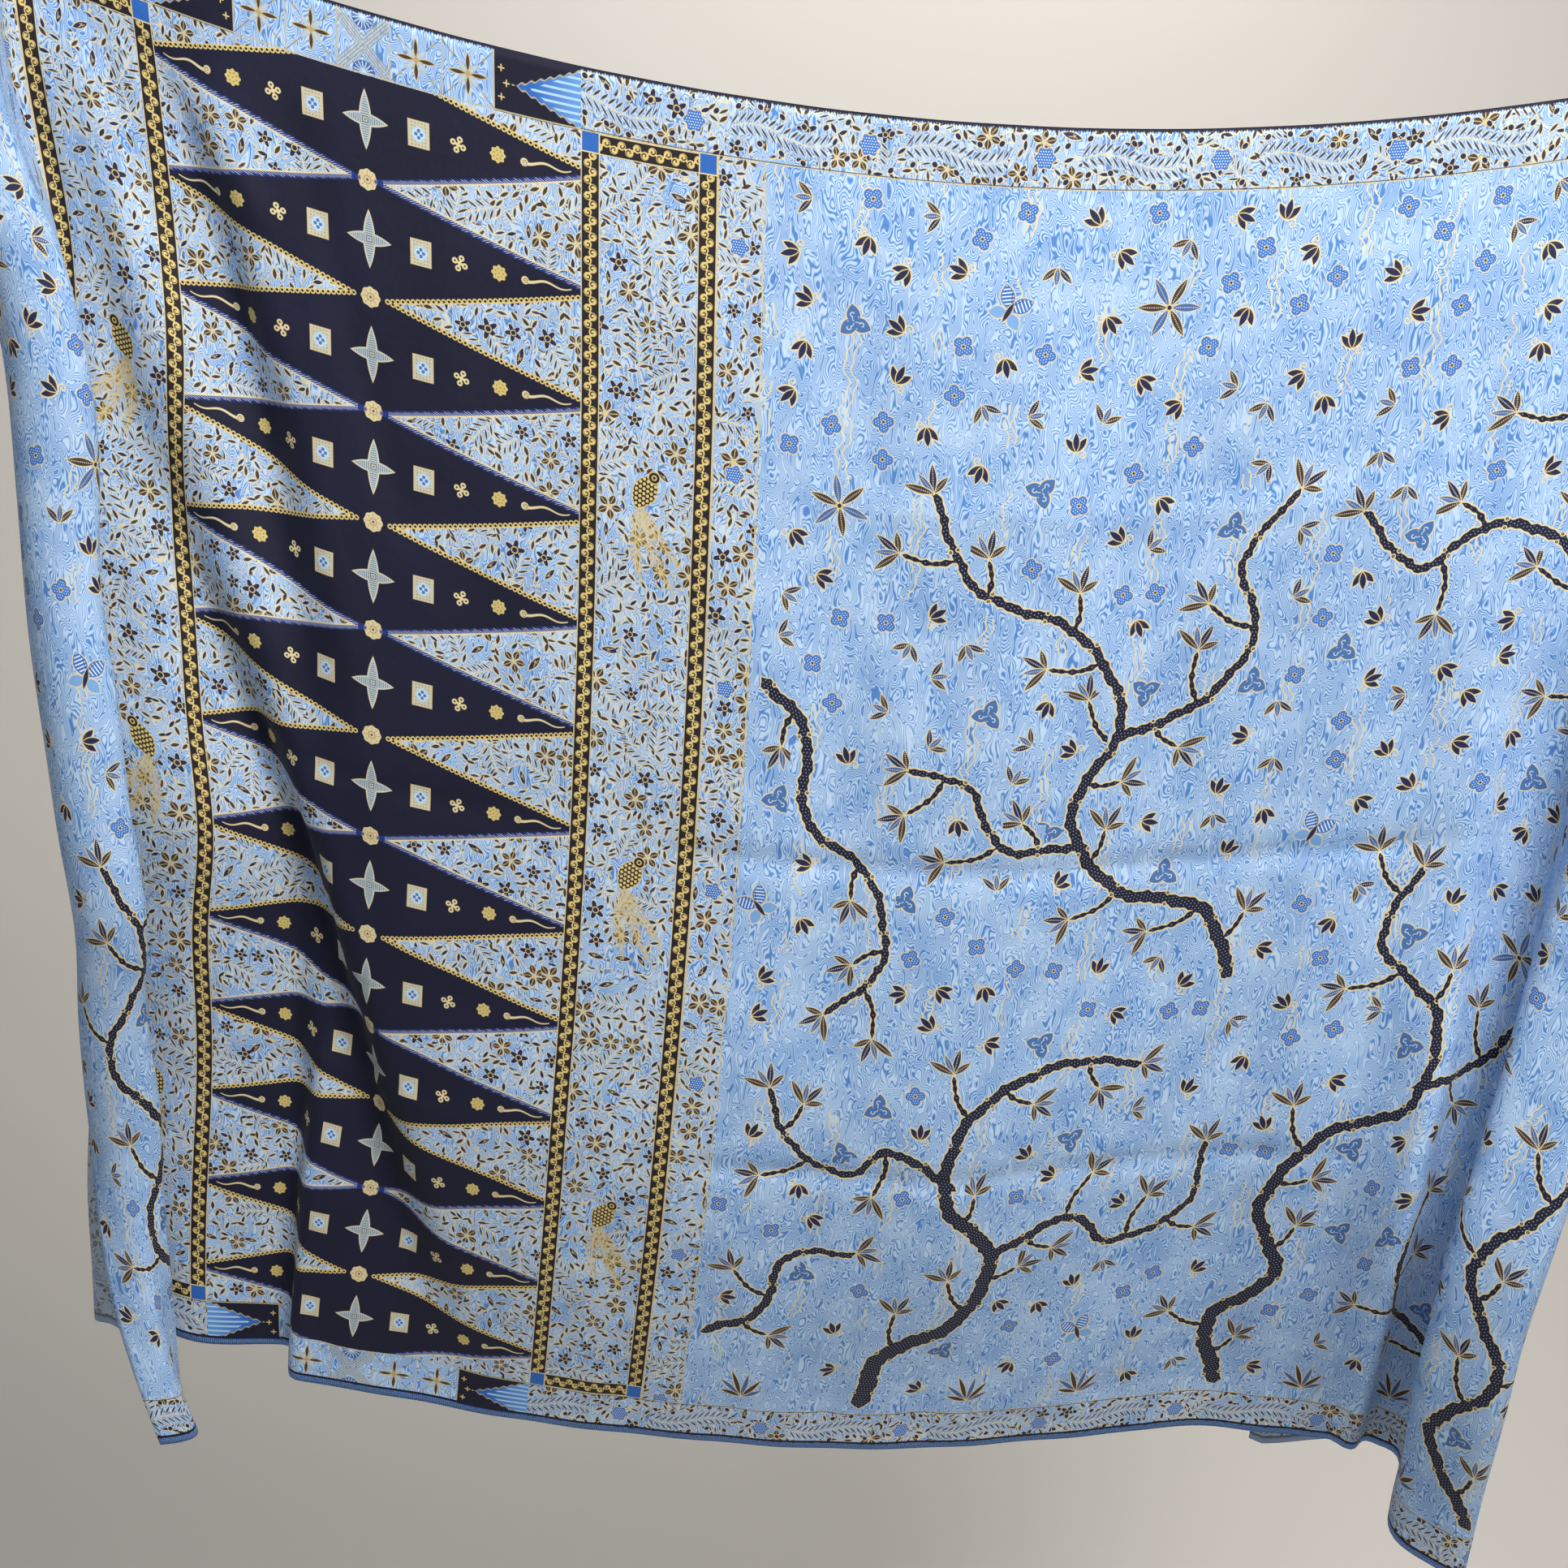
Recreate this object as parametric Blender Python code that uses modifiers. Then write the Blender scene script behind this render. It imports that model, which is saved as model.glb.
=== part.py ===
"""A batik sarong: one unsewn length of cotton cloth, hung by two points of its upper edge.

Metres, +Z up. The printed front faces -Y, the head panel is on the left and the body of the cloth runs to +X.
The origin is the left point where the upper edge is held. Places along the cloth are measured in the flat
cloth, from the middle line of the head panel.
"""
import bmesh
import bpy
import numpy as np

# Sizes of the flat cloth
HEIGHT = 1.05
LEFT_END = -0.425
RIGHT_END = 1.575
WALL = 0.0012
SEAM = 0.0003

# The upper edge sags as one curve between the two held places
HELD_LEFT = -0.2215
HELD_RIGHT = 0.832
SAG = 0.265
SAG_MIDDLE = 0.737
LEFT_DROOP = 0.55
RIGHT_DROOP = 0.06
RIGHT_DROOP_RUN = 0.20

# The right chain band of the head panel hangs free of folds. Its place is given at five levels:
# the upper edge, a quarter, a half and three quarters of the way down, and the hem.
BAND = 0.153
BAND_X = (0.360, 0.352, 0.337, 0.3125, 0.280)
BAND_Y = (0.0, 0.0, 0.0, 0.0, 0.045)
BAND_HEADING = (0.0, 0.0, 0.0, 0.0, 2.0)

# Each fold: its place at the upper edge and at the hem, the length of its bend,
# and how far it turns the cloth away from the front, in degrees, at the five levels.
FOLDS = (
    # name, upper place, hem place, bend, turns
    ("left_pipe", -0.383, -0.383, 0.080, (90, 90, 90, 90, 70)),
    ("left_inner", -0.338, -0.338, 0.030, (78, 100, 112, 117, 73)),
    ("left_outer", -0.243, -0.243, 0.034, (-107, -126, -139, -154, -175)),
    ("chain_valley", -0.185, -0.160, 0.040, (0, 27, 31, 21, 32)),
    ("upper_back", -0.158, 0.080, 0.030, (0, -67, -12, 0, 0)),
    ("upper_front", -0.118, 0.120, 0.030, (0, 42, 12, 0, 0)),
    ("pleat_back", -0.084, -0.078, 0.018, (0, 0, 0, -68, -112)),
    ("pleat_front", -0.056, -0.048, 0.018, (0, 0, 0, 62, 96)),
    ("swag_back", -0.300, 0.090, 0.034, (0, -34, -84, -62, 0)),
    ("swag_front", -0.250, 0.130, 0.036, (0, 26, 54, 50, 0)),
    ("centre", 0.100, 0.060, 0.080, (0, 0, -4, 0, -6)),
    ("hem_wave_1", 0.420, 0.420, 0.160, (0, 2, 6, 8, 4)),
    ("hem_wave_2", 0.640, 0.710, 0.080, (0, -4, -14, -34, -30)),
    ("ridge_left", 0.740, 0.790, 0.040, (0, 0, -18, -30, -20)),
    ("ridge_tip", 0.790, 0.845, 0.024, (0, 4, 56, 108, 100)),
    ("ridge_right", 0.830, 0.875, 0.024, (0, -2, -30, -52, -56)),
    ("flank_top", 0.860, 0.905, 0.030, (-60, -80, -115, -130, -118)),
    ("flank_foot", 0.930, 0.985, 0.036, (10, 25, 72, 88, 75)),
    ("pipe_front", 1.010, 1.045, 0.045, (140, 140, 133, 132, 136)),
    ("pipe_side", 1.110, 1.100, 0.070, (-30, -26, -16, -12, -16)),
    ("pipe_back", 1.180, 1.160, 0.060, (52, 44, 34, 28, 36)),
    ("back_turn", 1.240, 1.215, 0.050, (73, 74, 76, 76, 72)),
    ("back_fold", 1.355, 1.335, 0.044, (-168, -172, -178, -172, -178)),
    ("end_fold", 1.470, 1.450, 0.044, (160, 168, 174, 166, 174)),
)

# Each solid's share of the cloth, and the widths of its columns between the places named
ROWS = 20
LEFT_CUT = -0.205
RIGHT_CUT = 0.923
STRETCHES = (
    # name, columns as (to, width)
    ("left_fold", LEFT_END, ((-0.360, 0.013), (-0.320, 0.009), (-0.265, 0.016), (LEFT_CUT, 0.010))),
    ("front_panel", LEFT_CUT, ((-0.090, 0.013), (-0.040, 0.0072), (0.135, 0.0125), (0.740, 0.0356),
                               (RIGHT_CUT, 0.010))),
    ("right_fold", RIGHT_CUT, ((1.070, 0.0122), (1.260, 0.0172), (1.320, 0.030), (1.372, 0.0105),
                               (1.432, 0.030), (1.488, 0.0112), (RIGHT_END, 0.029))),
)
COLOURS = {
    # base colour of each solid
    "left_fold": (0.42, 0.60, 0.82),
    "front_panel": (0.38, 0.56, 0.82),
    "right_fold": (0.38, 0.56, 0.82),
}


def ease(t):
    """A smooth step from 0 to 1."""
    t = np.clip(t, 0.0, 1.0)
    return t * t * (3.0 - 2.0 * t)


def at_level(values, down):
    """The smooth value at down, from 0 at the upper edge to 1 at the hem, through the five levels' values."""
    v = np.asarray(values, float)
    last = len(v) - 1
    t = min(max(down * last, 0.0), float(last))
    i = min(int(t), last - 1)
    t -= i
    p = np.concatenate([[2 * v[0] - v[1]], v, [2 * v[-1] - v[-2]]])
    a, b, c, d = p[i:i + 4]
    return 0.5 * (2 * b + (c - a) * t + (2 * a - 5 * b + 4 * c - d) * t ** 2 + (3 * b - a - 3 * c + d) * t ** 3)


def upper_edge(along):
    """The height of the upper edge at places along the cloth."""
    held = np.linspace(HELD_LEFT, HELD_RIGHT, 600)
    step = held[1] - held[0]
    x = np.zeros_like(held)
    for k in range(1, len(held)):
        slope = 2 * SAG * (x[k - 1] - SAG_MIDDLE)
        x[k] = x[k - 1] + step / np.sqrt(1 + slope * slope)
    z = SAG * (x - SAG_MIDDLE) ** 2 - SAG * SAG_MIDDLE ** 2
    left = LEFT_DROOP * np.clip(HELD_LEFT - 0.06 - along, 0, None)
    right = RIGHT_DROOP * ease((along - HELD_RIGHT) / RIGHT_DROOP_RUN)
    return np.interp(along, held, z) - left - right


def hang():
    """The cloth's middle surface as fine grids of X, Y and Z, with the places and levels they stand at."""
    along = np.linspace(LEFT_END, RIGHT_END, 2001)
    levels = np.linspace(0.0, 1.0, 81)
    top = upper_edge(along)
    slope = np.gradient(top, along)
    reach = np.gradient(along) * np.sqrt(np.clip(1 - slope ** 2, 0.2, 1))
    band = int(np.searchsorted(along, BAND))
    x_rows, y_rows = [], []
    for level in levels:
        heading = np.zeros_like(along)
        for name, upper, hem, bend, turns in FOLDS:
            place = upper + (hem - upper) * level
            heading += at_level(turns, level) * ease((along - place) / bend + 0.5)
        heading = np.radians(heading - heading[band] + at_level(BAND_HEADING, level))
        for rows, share, start in ((x_rows, np.cos(heading), BAND_X), (y_rows, np.sin(heading), BAND_Y)):
            step = share * reach
            run = np.concatenate([[0.0], np.cumsum((step[1:] + step[:-1]) / 2)])
            rows.append(run - run[band] + at_level(start, level))
    x, y = np.array(x_rows), np.array(y_rows)
    length = HEIGHT / (len(levels) - 1)
    moved = np.diff(x, axis=0) ** 2 + np.diff(y, axis=0) ** 2
    drop = np.sqrt(np.clip(length ** 2 - moved, (0.5 * length) ** 2, None))
    z = top - np.concatenate([np.zeros((1, len(along))), np.cumsum(drop, axis=0)])
    return along, levels, x, y, z


def read_off(cloth, places, downs):
    """Points of the cloth at the given places along it and levels down it."""
    along, levels, *grids = cloth
    points = []
    for grid in grids:
        rows = np.array([np.interp(places, along, row) for row in grid])
        points.append(np.array([np.interp(downs, levels, column) for column in rows.T]).T)
    return np.stack(points, axis=-1)


def columns(start, spans):
    """Places of the columns from start through the spans, each column about as wide as its span says."""
    places = [start]
    for end, width in spans:
        count = max(1, round((end - places[-1]) / width))
        places += list(np.linspace(places[-1], end, count + 1)[1:])
    return np.array(places)


def material(name, colour):
    made = bpy.data.materials.new(name)
    made.use_nodes = True
    shader = made.node_tree.nodes["Principled BSDF"]
    shader.inputs["Base Color"].default_value = (*colour, 1.0)
    shader.inputs["Roughness"].default_value = 0.85
    return made


def stretch(name, start, spans, cloth, group):
    """One stretch of the cloth as a solid wall, cut a seam's width short of its neighbours."""
    places = columns(start, spans)
    if places[0] > LEFT_END:
        places[0] += SEAM / 2
    if places[-1] < RIGHT_END:
        places[-1] -= SEAM / 2
    points = read_off(cloth, places, np.linspace(0.0, 1.0, ROWS + 1))
    bm = bmesh.new()
    bmesh.ops.create_grid(bm, x_segments=len(places) - 1, y_segments=ROWS, size=0.5)
    for vert in bm.verts:
        column = round((vert.co.x + 0.5) * (len(places) - 1))
        row = round((0.5 - vert.co.y) * ROWS)
        vert.co = points[row, column]
    mesh = bpy.data.meshes.new(name)
    bm.to_mesh(mesh)
    bm.free()
    solid = bpy.data.objects.new(name, mesh)
    group.objects.link(solid)
    wall = solid.modifiers.new("wall", "SOLIDIFY")
    wall.thickness = WALL
    wall.offset = 0.0
    wall.use_even_offset = True
    mesh.materials.append(material(name, COLOURS[name]))


for old in list(bpy.data.objects):
    bpy.data.objects.remove(old)
sarong = bpy.data.collections.new("batik_sarong")
bpy.context.scene.collection.children.link(sarong)
hung_cloth = hang()
for stretch_name, stretch_start, stretch_spans in STRETCHES:
    stretch(stretch_name, stretch_start, stretch_spans, hung_cloth, sarong)
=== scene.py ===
"""The looks of a batik sarong: the hung cloth with its folds and creases, and its wax print."""

import math
import random

import bmesh
import bpy
import numpy as np
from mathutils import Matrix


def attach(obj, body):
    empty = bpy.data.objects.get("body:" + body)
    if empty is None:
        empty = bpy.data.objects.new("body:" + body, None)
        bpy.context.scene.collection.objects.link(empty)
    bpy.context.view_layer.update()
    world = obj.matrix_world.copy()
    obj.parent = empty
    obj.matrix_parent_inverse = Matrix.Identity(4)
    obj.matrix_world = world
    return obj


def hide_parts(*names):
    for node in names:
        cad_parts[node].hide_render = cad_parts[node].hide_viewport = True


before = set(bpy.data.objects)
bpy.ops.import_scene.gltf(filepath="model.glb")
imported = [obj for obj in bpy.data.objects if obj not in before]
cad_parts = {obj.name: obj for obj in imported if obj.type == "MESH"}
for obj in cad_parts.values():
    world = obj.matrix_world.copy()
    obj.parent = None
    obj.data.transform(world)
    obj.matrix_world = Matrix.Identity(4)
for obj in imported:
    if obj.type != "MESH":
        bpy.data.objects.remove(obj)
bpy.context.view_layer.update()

# Sizes of the flat cloth, in metres. Places along it are from the middle line of the head panel, to the right.
HEIGHT = 1.05
LEFT_END = -0.425
RIGHT_END = 1.575
CLOTH = 0.0006

# The upper edge sags between the two held places
HELD_LEFT = -0.2215
HELD_RIGHT = 0.832
SAG = 0.265
SAG_MIDDLE = 0.737
LEFT_DROOP = 0.55
RIGHT_DROOP = 0.06
RIGHT_DROOP_RUN = 0.20

# The right chain band of the head panel, at five levels from the upper edge to the hem
BAND = 0.153
BAND_X = (0.360, 0.352, 0.337, 0.3125, 0.280)
BAND_Y = (0.0, 0.0, 0.0, 0.0, 0.045)
BAND_HEADING = (0.0, 0.0, 0.0, 0.0, 2.0)

# Each fold: its place at the upper edge and at the hem, the length of its bend,
# and how far it turns the cloth away from the front, in degrees, at the five levels
FOLDS = (
    # name, upper place, hem place, bend, turns
    ("left_pipe", -0.383, -0.383, 0.080, (90, 90, 90, 90, 70)),
    ("left_inner", -0.338, -0.338, 0.030, (78, 100, 112, 117, 73)),
    ("left_outer", -0.243, -0.243, 0.034, (-107, -126, -139, -154, -175)),
    ("chain_valley", -0.185, -0.160, 0.040, (0, 27, 31, 21, 32)),
    ("upper_back", -0.158, 0.080, 0.030, (0, -67, -12, 0, 0)),
    ("upper_front", -0.118, 0.120, 0.030, (0, 42, 12, 0, 0)),
    ("pleat_back", -0.084, -0.078, 0.018, (0, 0, 0, -68, -112)),
    ("pleat_front", -0.056, -0.048, 0.018, (0, 0, 0, 62, 96)),
    ("swag_back", -0.300, 0.090, 0.034, (0, -34, -84, -62, 0)),
    ("swag_front", -0.250, 0.130, 0.036, (0, 26, 54, 50, 0)),
    ("centre", 0.100, 0.060, 0.080, (0, 0, -4, 0, -6)),
    ("hem_wave_1", 0.420, 0.420, 0.160, (0, 2, 6, 8, 4)),
    ("hem_wave_2", 0.640, 0.710, 0.080, (0, -4, -14, -34, -30)),
    ("ridge_left", 0.740, 0.790, 0.040, (0, 0, -18, -30, -20)),
    ("ridge_tip", 0.790, 0.845, 0.024, (0, 4, 56, 108, 100)),
    ("ridge_right", 0.830, 0.875, 0.024, (0, -2, -30, -52, -56)),
    ("flank_top", 0.860, 0.905, 0.030, (-60, -80, -115, -130, -118)),
    ("flank_foot", 0.930, 0.985, 0.036, (10, 25, 72, 88, 75)),
    ("pipe_front", 1.010, 1.045, 0.045, (140, 140, 133, 132, 136)),
    ("pipe_side", 1.110, 1.100, 0.070, (-30, -26, -16, -12, -16)),
    ("pipe_back", 1.180, 1.160, 0.060, (52, 44, 34, 28, 36)),
    ("back_turn", 1.240, 1.215, 0.050, (73, 74, 76, 76, 72)),
    ("back_fold", 1.355, 1.335, 0.044, (-168, -172, -178, -172, -178)),
    ("end_fold", 1.470, 1.450, 0.044, (160, 168, 174, 166, 174)),
)

# How far the free corner at the left hangs below the fold beside it, and how far its end leans in
CORNER_DROP = 0.066
CORNER_LEAN = 0.030

# Creases left by folding the cloth for storage, and small pulls from the held places. Places are in the flat
# cloth, from start to end, with the width and the depth of the trough. A negative depth is a ridge.
CREASES = (
    # name, start, end, width, depth
    ("half_fold", (0.16, 0.528), (0.86, 0.512), 0.0080, 0.0034),
    ("half_fold_end", (0.93, 0.53), (1.30, 0.55), 0.0090, -0.0022),
    ("quarter_fold", (0.20, 0.775), (0.80, 0.762), 0.0080, 0.0030),
    ("quarter_fold_left", (-0.14, 0.772), (0.10, 0.766), 0.0085, -0.0020),
    ("upper_fold", (0.30, 0.262), (0.78, 0.250), 0.0085, -0.0013),
    ("long_fold", (0.402, 0.70), (0.392, 1.05), 0.0080, 0.0030),
    ("long_fold_upper", (0.655, 0.26), (0.650, 0.49), 0.0085, 0.0017),
    ("long_fold_middle", (0.405, 0.30), (0.400, 0.66), 0.0090, 0.0012),
    ("panel_fold", (-0.044, 0.50), (-0.040, 0.90), 0.0080, 0.0020),
    ("panel_cross_fold", (-0.130, 0.520), (0.120, 0.524), 0.0080, 0.0014),
    ("upper_pull", (-0.205, 0.02), (-0.120, 0.30), 0.0140, 0.0032),
    ("upper_pull_2", (-0.235, 0.03), (-0.205, 0.42), 0.0120, -0.0030),
    ("upper_pull_3", (-0.180, 0.01), (-0.060, 0.17), 0.0120, -0.0022),
    ("panel_pull", (-0.110, 0.06), (-0.070, 0.27), 0.0180, -0.0030),
    ("panel_pull_2", (-0.060, 0.05), (0.030, 0.36), 0.0150, 0.0022),
    ("hem_pull", (-0.050, 0.90), (-0.020, 1.04), 0.0120, 0.0024),
    ("hem_pull_2", (0.180, 0.86), (0.205, 1.03), 0.0160, -0.0022),
    ("hem_pull_3", (0.480, 0.93), (0.470, 1.05), 0.0140, 0.0020),
    ("hem_pull_4", (0.300, 0.90), (0.315, 1.05), 0.0140, 0.0018),
    ("soft_fold", (0.335, 0.10), (0.350, 1.00), 0.0400, 0.0050),
    ("soft_fold_2", (0.470, 0.08), (0.450, 0.96), 0.0420, -0.0055),
    ("soft_fold_3", (0.570, 0.12), (0.585, 0.98), 0.0360, 0.0046),
    ("right_pull", (0.780, 0.10), (0.760, 0.50), 0.0300, 0.0032),
    ("right_pull_2", (0.700, 0.45), (0.735, 0.98), 0.0260, -0.0040),
    ("right_pull_3", (0.600, 0.55), (0.640, 0.95), 0.0240, 0.0026),
    ("back_pull", (1.180, 0.20), (1.170, 0.80), 0.0300, 0.0040),
    ("back_pull_2", (1.290, 0.30), (1.300, 0.95), 0.0260, -0.0040),
    ("back_pull_3", (1.420, 0.10), (1.410, 0.60), 0.0260, 0.0030),
)

# The print's layout, in metres from the middle line or down from the upper edge
BORDER = 0.040
PANEL_HALF = 0.1465
STRIP_END = 0.272

# The head panel's rows in millimetres: their pitch, the first star and the first rose, how far a triangle's
# tip lies from the middle line, and its edge's slope
ROW = 76.0
STAR_ROW = 67.6
ROSE_ROW = 105.6
APEX = 12.0
SLOPE = math.atan2(34, 134.5)

# The print on the wrong side
BACK_SATURATION = 0.70
BACK_VALUE = 0.95
BACK_SHARE = 0.36

# The pitch at which small figures are strewn
STREWN = 0.0215

# The studio: where its floor starts, at the left and in front, how long it is, and its wall
FLOOR_LEFT = -5.0
FLOOR_FRONT = -4.0
FLOOR_LONG = 11.0
FLOOR_Z = -2.3
WALL_Y = 1.9
WALL_TOP = 3.0
SWEEP = 0.9

# Columns of the cloth's mesh, as (to, width), chosen so that the borders of the print fall on them
COLUMNS = (
    (-STRIP_END, 0.0054), (-PANEL_HALF, 0.0052), (PANEL_HALF, 0.0051), (STRIP_END, 0.0058), (0.740, 0.0066),
    (1.080, 0.0060), (RIGHT_END, 0.0135),
)
ROWS = ((BORDER, 0.0067), (HEIGHT - BORDER, 0.0066), (HEIGHT, 0.0067))


def ease(t):
    """A smooth step from 0 to 1."""
    t = np.clip(t, 0.0, 1.0)
    return t * t * (3.0 - 2.0 * t)


def at_level(values, down):
    """The smooth value at down, from 0 at the upper edge to 1 at the hem, through the five levels' values."""
    v = np.asarray(values, float)
    last = len(v) - 1
    t = min(max(down * last, 0.0), float(last))
    i = min(int(t), last - 1)
    t -= i
    p = np.concatenate([[2 * v[0] - v[1]], v, [2 * v[-1] - v[-2]]])
    a, b, c, d = p[i:i + 4]
    return 0.5 * (2 * b + (c - a) * t + (2 * a - 5 * b + 4 * c - d) * t ** 2 + (3 * b - a - 3 * c + d) * t ** 3)


def upper_edge(along):
    """The height of the upper edge at places along the cloth."""
    held = np.linspace(HELD_LEFT, HELD_RIGHT, 600)
    step = held[1] - held[0]
    x = np.zeros_like(held)
    for k in range(1, len(held)):
        slope = 2 * SAG * (x[k - 1] - SAG_MIDDLE)
        x[k] = x[k - 1] + step / np.sqrt(1 + slope * slope)
    z = SAG * (x - SAG_MIDDLE) ** 2 - SAG * SAG_MIDDLE ** 2
    left = LEFT_DROOP * np.clip(HELD_LEFT - 0.06 - along, 0, None)
    right = RIGHT_DROOP * ease((along - HELD_RIGHT) / RIGHT_DROOP_RUN)
    return np.interp(along, held, z) - left - right


def hang():
    """The cloth's middle surface as fine grids of X, Y and Z, with the places and levels they stand at."""
    along = np.linspace(LEFT_END, RIGHT_END, 2001)
    levels = np.linspace(0.0, 1.0, 81)
    top = upper_edge(along)
    slope = np.gradient(top, along)
    reach = np.gradient(along) * np.sqrt(np.clip(1 - slope ** 2, 0.2, 1))
    band = int(np.searchsorted(along, BAND))
    x_rows, y_rows = [], []
    for level in levels:
        heading = np.zeros_like(along)
        for name, upper, hem, bend, turns in FOLDS:
            place = upper + (hem - upper) * level
            heading += at_level(turns, level) * ease((along - place) / bend + 0.5)
        heading = np.radians(heading - heading[band] + at_level(BAND_HEADING, level))
        for rows, share, start in ((x_rows, np.cos(heading), BAND_X), (y_rows, np.sin(heading), BAND_Y)):
            step = share * reach
            run = np.concatenate([[0.0], np.cumsum((step[1:] + step[:-1]) / 2)])
            rows.append(run - run[band] + at_level(start, level))
    x, y = np.array(x_rows), np.array(y_rows)
    length = HEIGHT / (len(levels) - 1)
    moved = np.diff(x, axis=0) ** 2 + np.diff(y, axis=0) ** 2
    drop = np.sqrt(np.clip(length ** 2 - moved, (0.5 * length) ** 2, None))
    z = top - np.concatenate([np.zeros((1, len(along))), np.cumsum(drop, axis=0)])
    return along, levels, x, y, z


def read_off(cloth, places, downs):
    """Points of the cloth at the given places along it and levels down it."""
    along, levels, *grids = cloth
    points = []
    for grid in grids:
        rows = np.array([np.interp(places, along, row) for row in grid])
        points.append(np.array([np.interp(downs, levels, column) for column in rows.T]).T)
    return np.stack(points, axis=-1)


def columns(start, spans):
    """Places of the columns from start through the spans, each column about as wide as its span says."""
    places = [start]
    for end, width in spans:
        count = max(1, round((end - places[-1]) / width))
        places += list(np.linspace(places[-1], end, count + 1)[1:])
    return np.array(places)


def away_from(u, v, start, end):
    """How far places in the flat cloth lie off the line between two of its points, and along it."""
    run = np.subtract(end, start)
    length = float(np.hypot(*run))
    along = ((u - start[0]) * run[0] + (v - start[1]) * run[1]) / length ** 2
    near = np.clip(along, 0, 1)
    return np.hypot(u - start[0] - near * run[0], v - start[1] - near * run[1]), along


def crease_heights(u, v):
    """How far the creases and the cloth's small unevenness stand out of its middle surface."""
    height = 0.0005 * np.sin(2 * np.pi * (u / 0.083 + 0.6 * np.sin(v / 0.11)))
    height += 0.0006 * np.sin(2 * np.pi * (v / 0.157 + 0.5 * np.sin(u / 0.09)))
    for name, start, end, width, depth in CREASES:
        off, along = away_from(u, v, start, end)
        fade = ease(np.clip(1.0 - np.abs(along - 0.5) * 2, 0, 1) * 3)
        height -= depth * fade * np.exp(-(off / width) ** 2)
    return height


class Field:
    """A value that varies over the cloth: a node's output, used in plain arithmetic. Lengths are in millimetres."""

    def __init__(self, tree, socket):
        self.tree = tree
        self.socket = socket

    def math(self, operation, *others, clamp=False):
        node = self.tree.nodes.new("ShaderNodeMath")
        node.operation = operation
        node.use_clamp = clamp
        for slot, value in zip(node.inputs, (self, *others)):
            feed(self.tree, value, slot)
        return Field(self.tree, node.outputs[0])

    def __add__(self, other):
        return self.math("ADD", other)

    def __sub__(self, other):
        return self.math("SUBTRACT", other)

    def __rsub__(self, other):
        return self.math("MULTIPLY_ADD", -1.0, other)

    def __mul__(self, other):
        return self.math("MULTIPLY", other)

    def __truediv__(self, other):
        return self.math("DIVIDE", other)

    def __abs__(self):
        return self.math("ABSOLUTE")

    def __neg__(self):
        return self.math("MULTIPLY", -1.0)

    __radd__ = __add__
    __rmul__ = __mul__

    def least(self, *others):
        found = self
        for other in others:
            found = found.math("MINIMUM", other)
        return found

    def most(self, *others):
        found = self
        for other in others:
            found = found.math("MAXIMUM", other)
        return found

    def wave(self, length):
        """A sine wave of this length, from -1 to 1."""
        return (self * (2 * math.pi / length)).math("SINE")

    def cell(self, pitch):
        """The place within its repeat, from minus half a pitch to plus half."""
        return self.math("WRAP", pitch / 2, -pitch / 2)

    def above(self, limit):
        return self.math("GREATER_THAN", limit)

    def below(self, limit):
        return self.math("LESS_THAN", limit)


def feed(tree, value, slot):
    if isinstance(value, Field):
        tree.links.new(value.socket, slot)
    else:
        slot.default_value = value


def hypot(x, y):
    return (x * x + y * y).math("SQRT")


def angle(x, y):
    return y.math("ARCTAN2", x)


def inside(distance, soft=0.25):
    """1 where the distance to an edge is below zero, 0 outside, soft by this many millimetres."""
    node = distance.tree.nodes.new("ShaderNodeMapRange")
    feed(distance.tree, distance, node.inputs["Value"])
    node.inputs["From Min"].default_value = soft
    node.inputs["From Max"].default_value = -soft
    return Field(distance.tree, node.outputs["Result"])


def turned(x, y, degrees):
    """The same place in axes turned by this many degrees."""
    c, s = math.cos(math.radians(degrees)), math.sin(math.radians(degrees))
    return x * c + y * s, y * c - x * s


def leaf(x, y, long, wide):
    """Distance to a pointed leaf from 0 to long along x, wide across its middle."""
    half = long / 2
    t = (x - half) * (1 / half)
    return abs(y) - (1.0 - t * t) * (wide / 2)


def rosette(x, y, radius, petals, depth):
    """Distance to a round flower with scalloped petals."""
    return hypot(x, y) - ((angle(x, y) * petals).math("COSINE") * depth + (radius - depth))


def round_of(x, y, count):
    """The place seen from the nearest of a round of equal directions: outwards and across."""
    r = hypot(x, y)
    a = angle(x, y).cell(2 * math.pi / count)
    return r * a.math("COSINE"), r * a.math("SINE")


def box(x, y, half_wide, half_high):
    return (abs(x) - half_wide).most(abs(y) - half_high)


def tint(r, g, b):
    """A colour given as it looks on a screen, 0 to 255."""
    def linear(c):
        c /= 255
        return c / 12.92 if c <= 0.04045 else ((c + 0.055) / 1.055) ** 2.4
    return linear(r), linear(g), linear(b), 1.0


def paint(under, over, mask):
    """One colour over another where the mask is 1. The mask may be a plain share."""
    tree = next(part.tree for part in (mask, under, over) if isinstance(part, Field))
    node = tree.nodes.new("ShaderNodeMix")
    node.data_type = "RGBA"
    feed(tree, mask, node.inputs["Factor"])
    feed(tree, under, node.inputs[6])
    feed(tree, over, node.inputs[7])
    return Field(tree, node.outputs[2])


def outlined(under, distance, fill, line, width):
    """A shape with a drawn line of this width round it."""
    return paint(paint(under, line, inside(distance - width)), fill, inside(distance))


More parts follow.
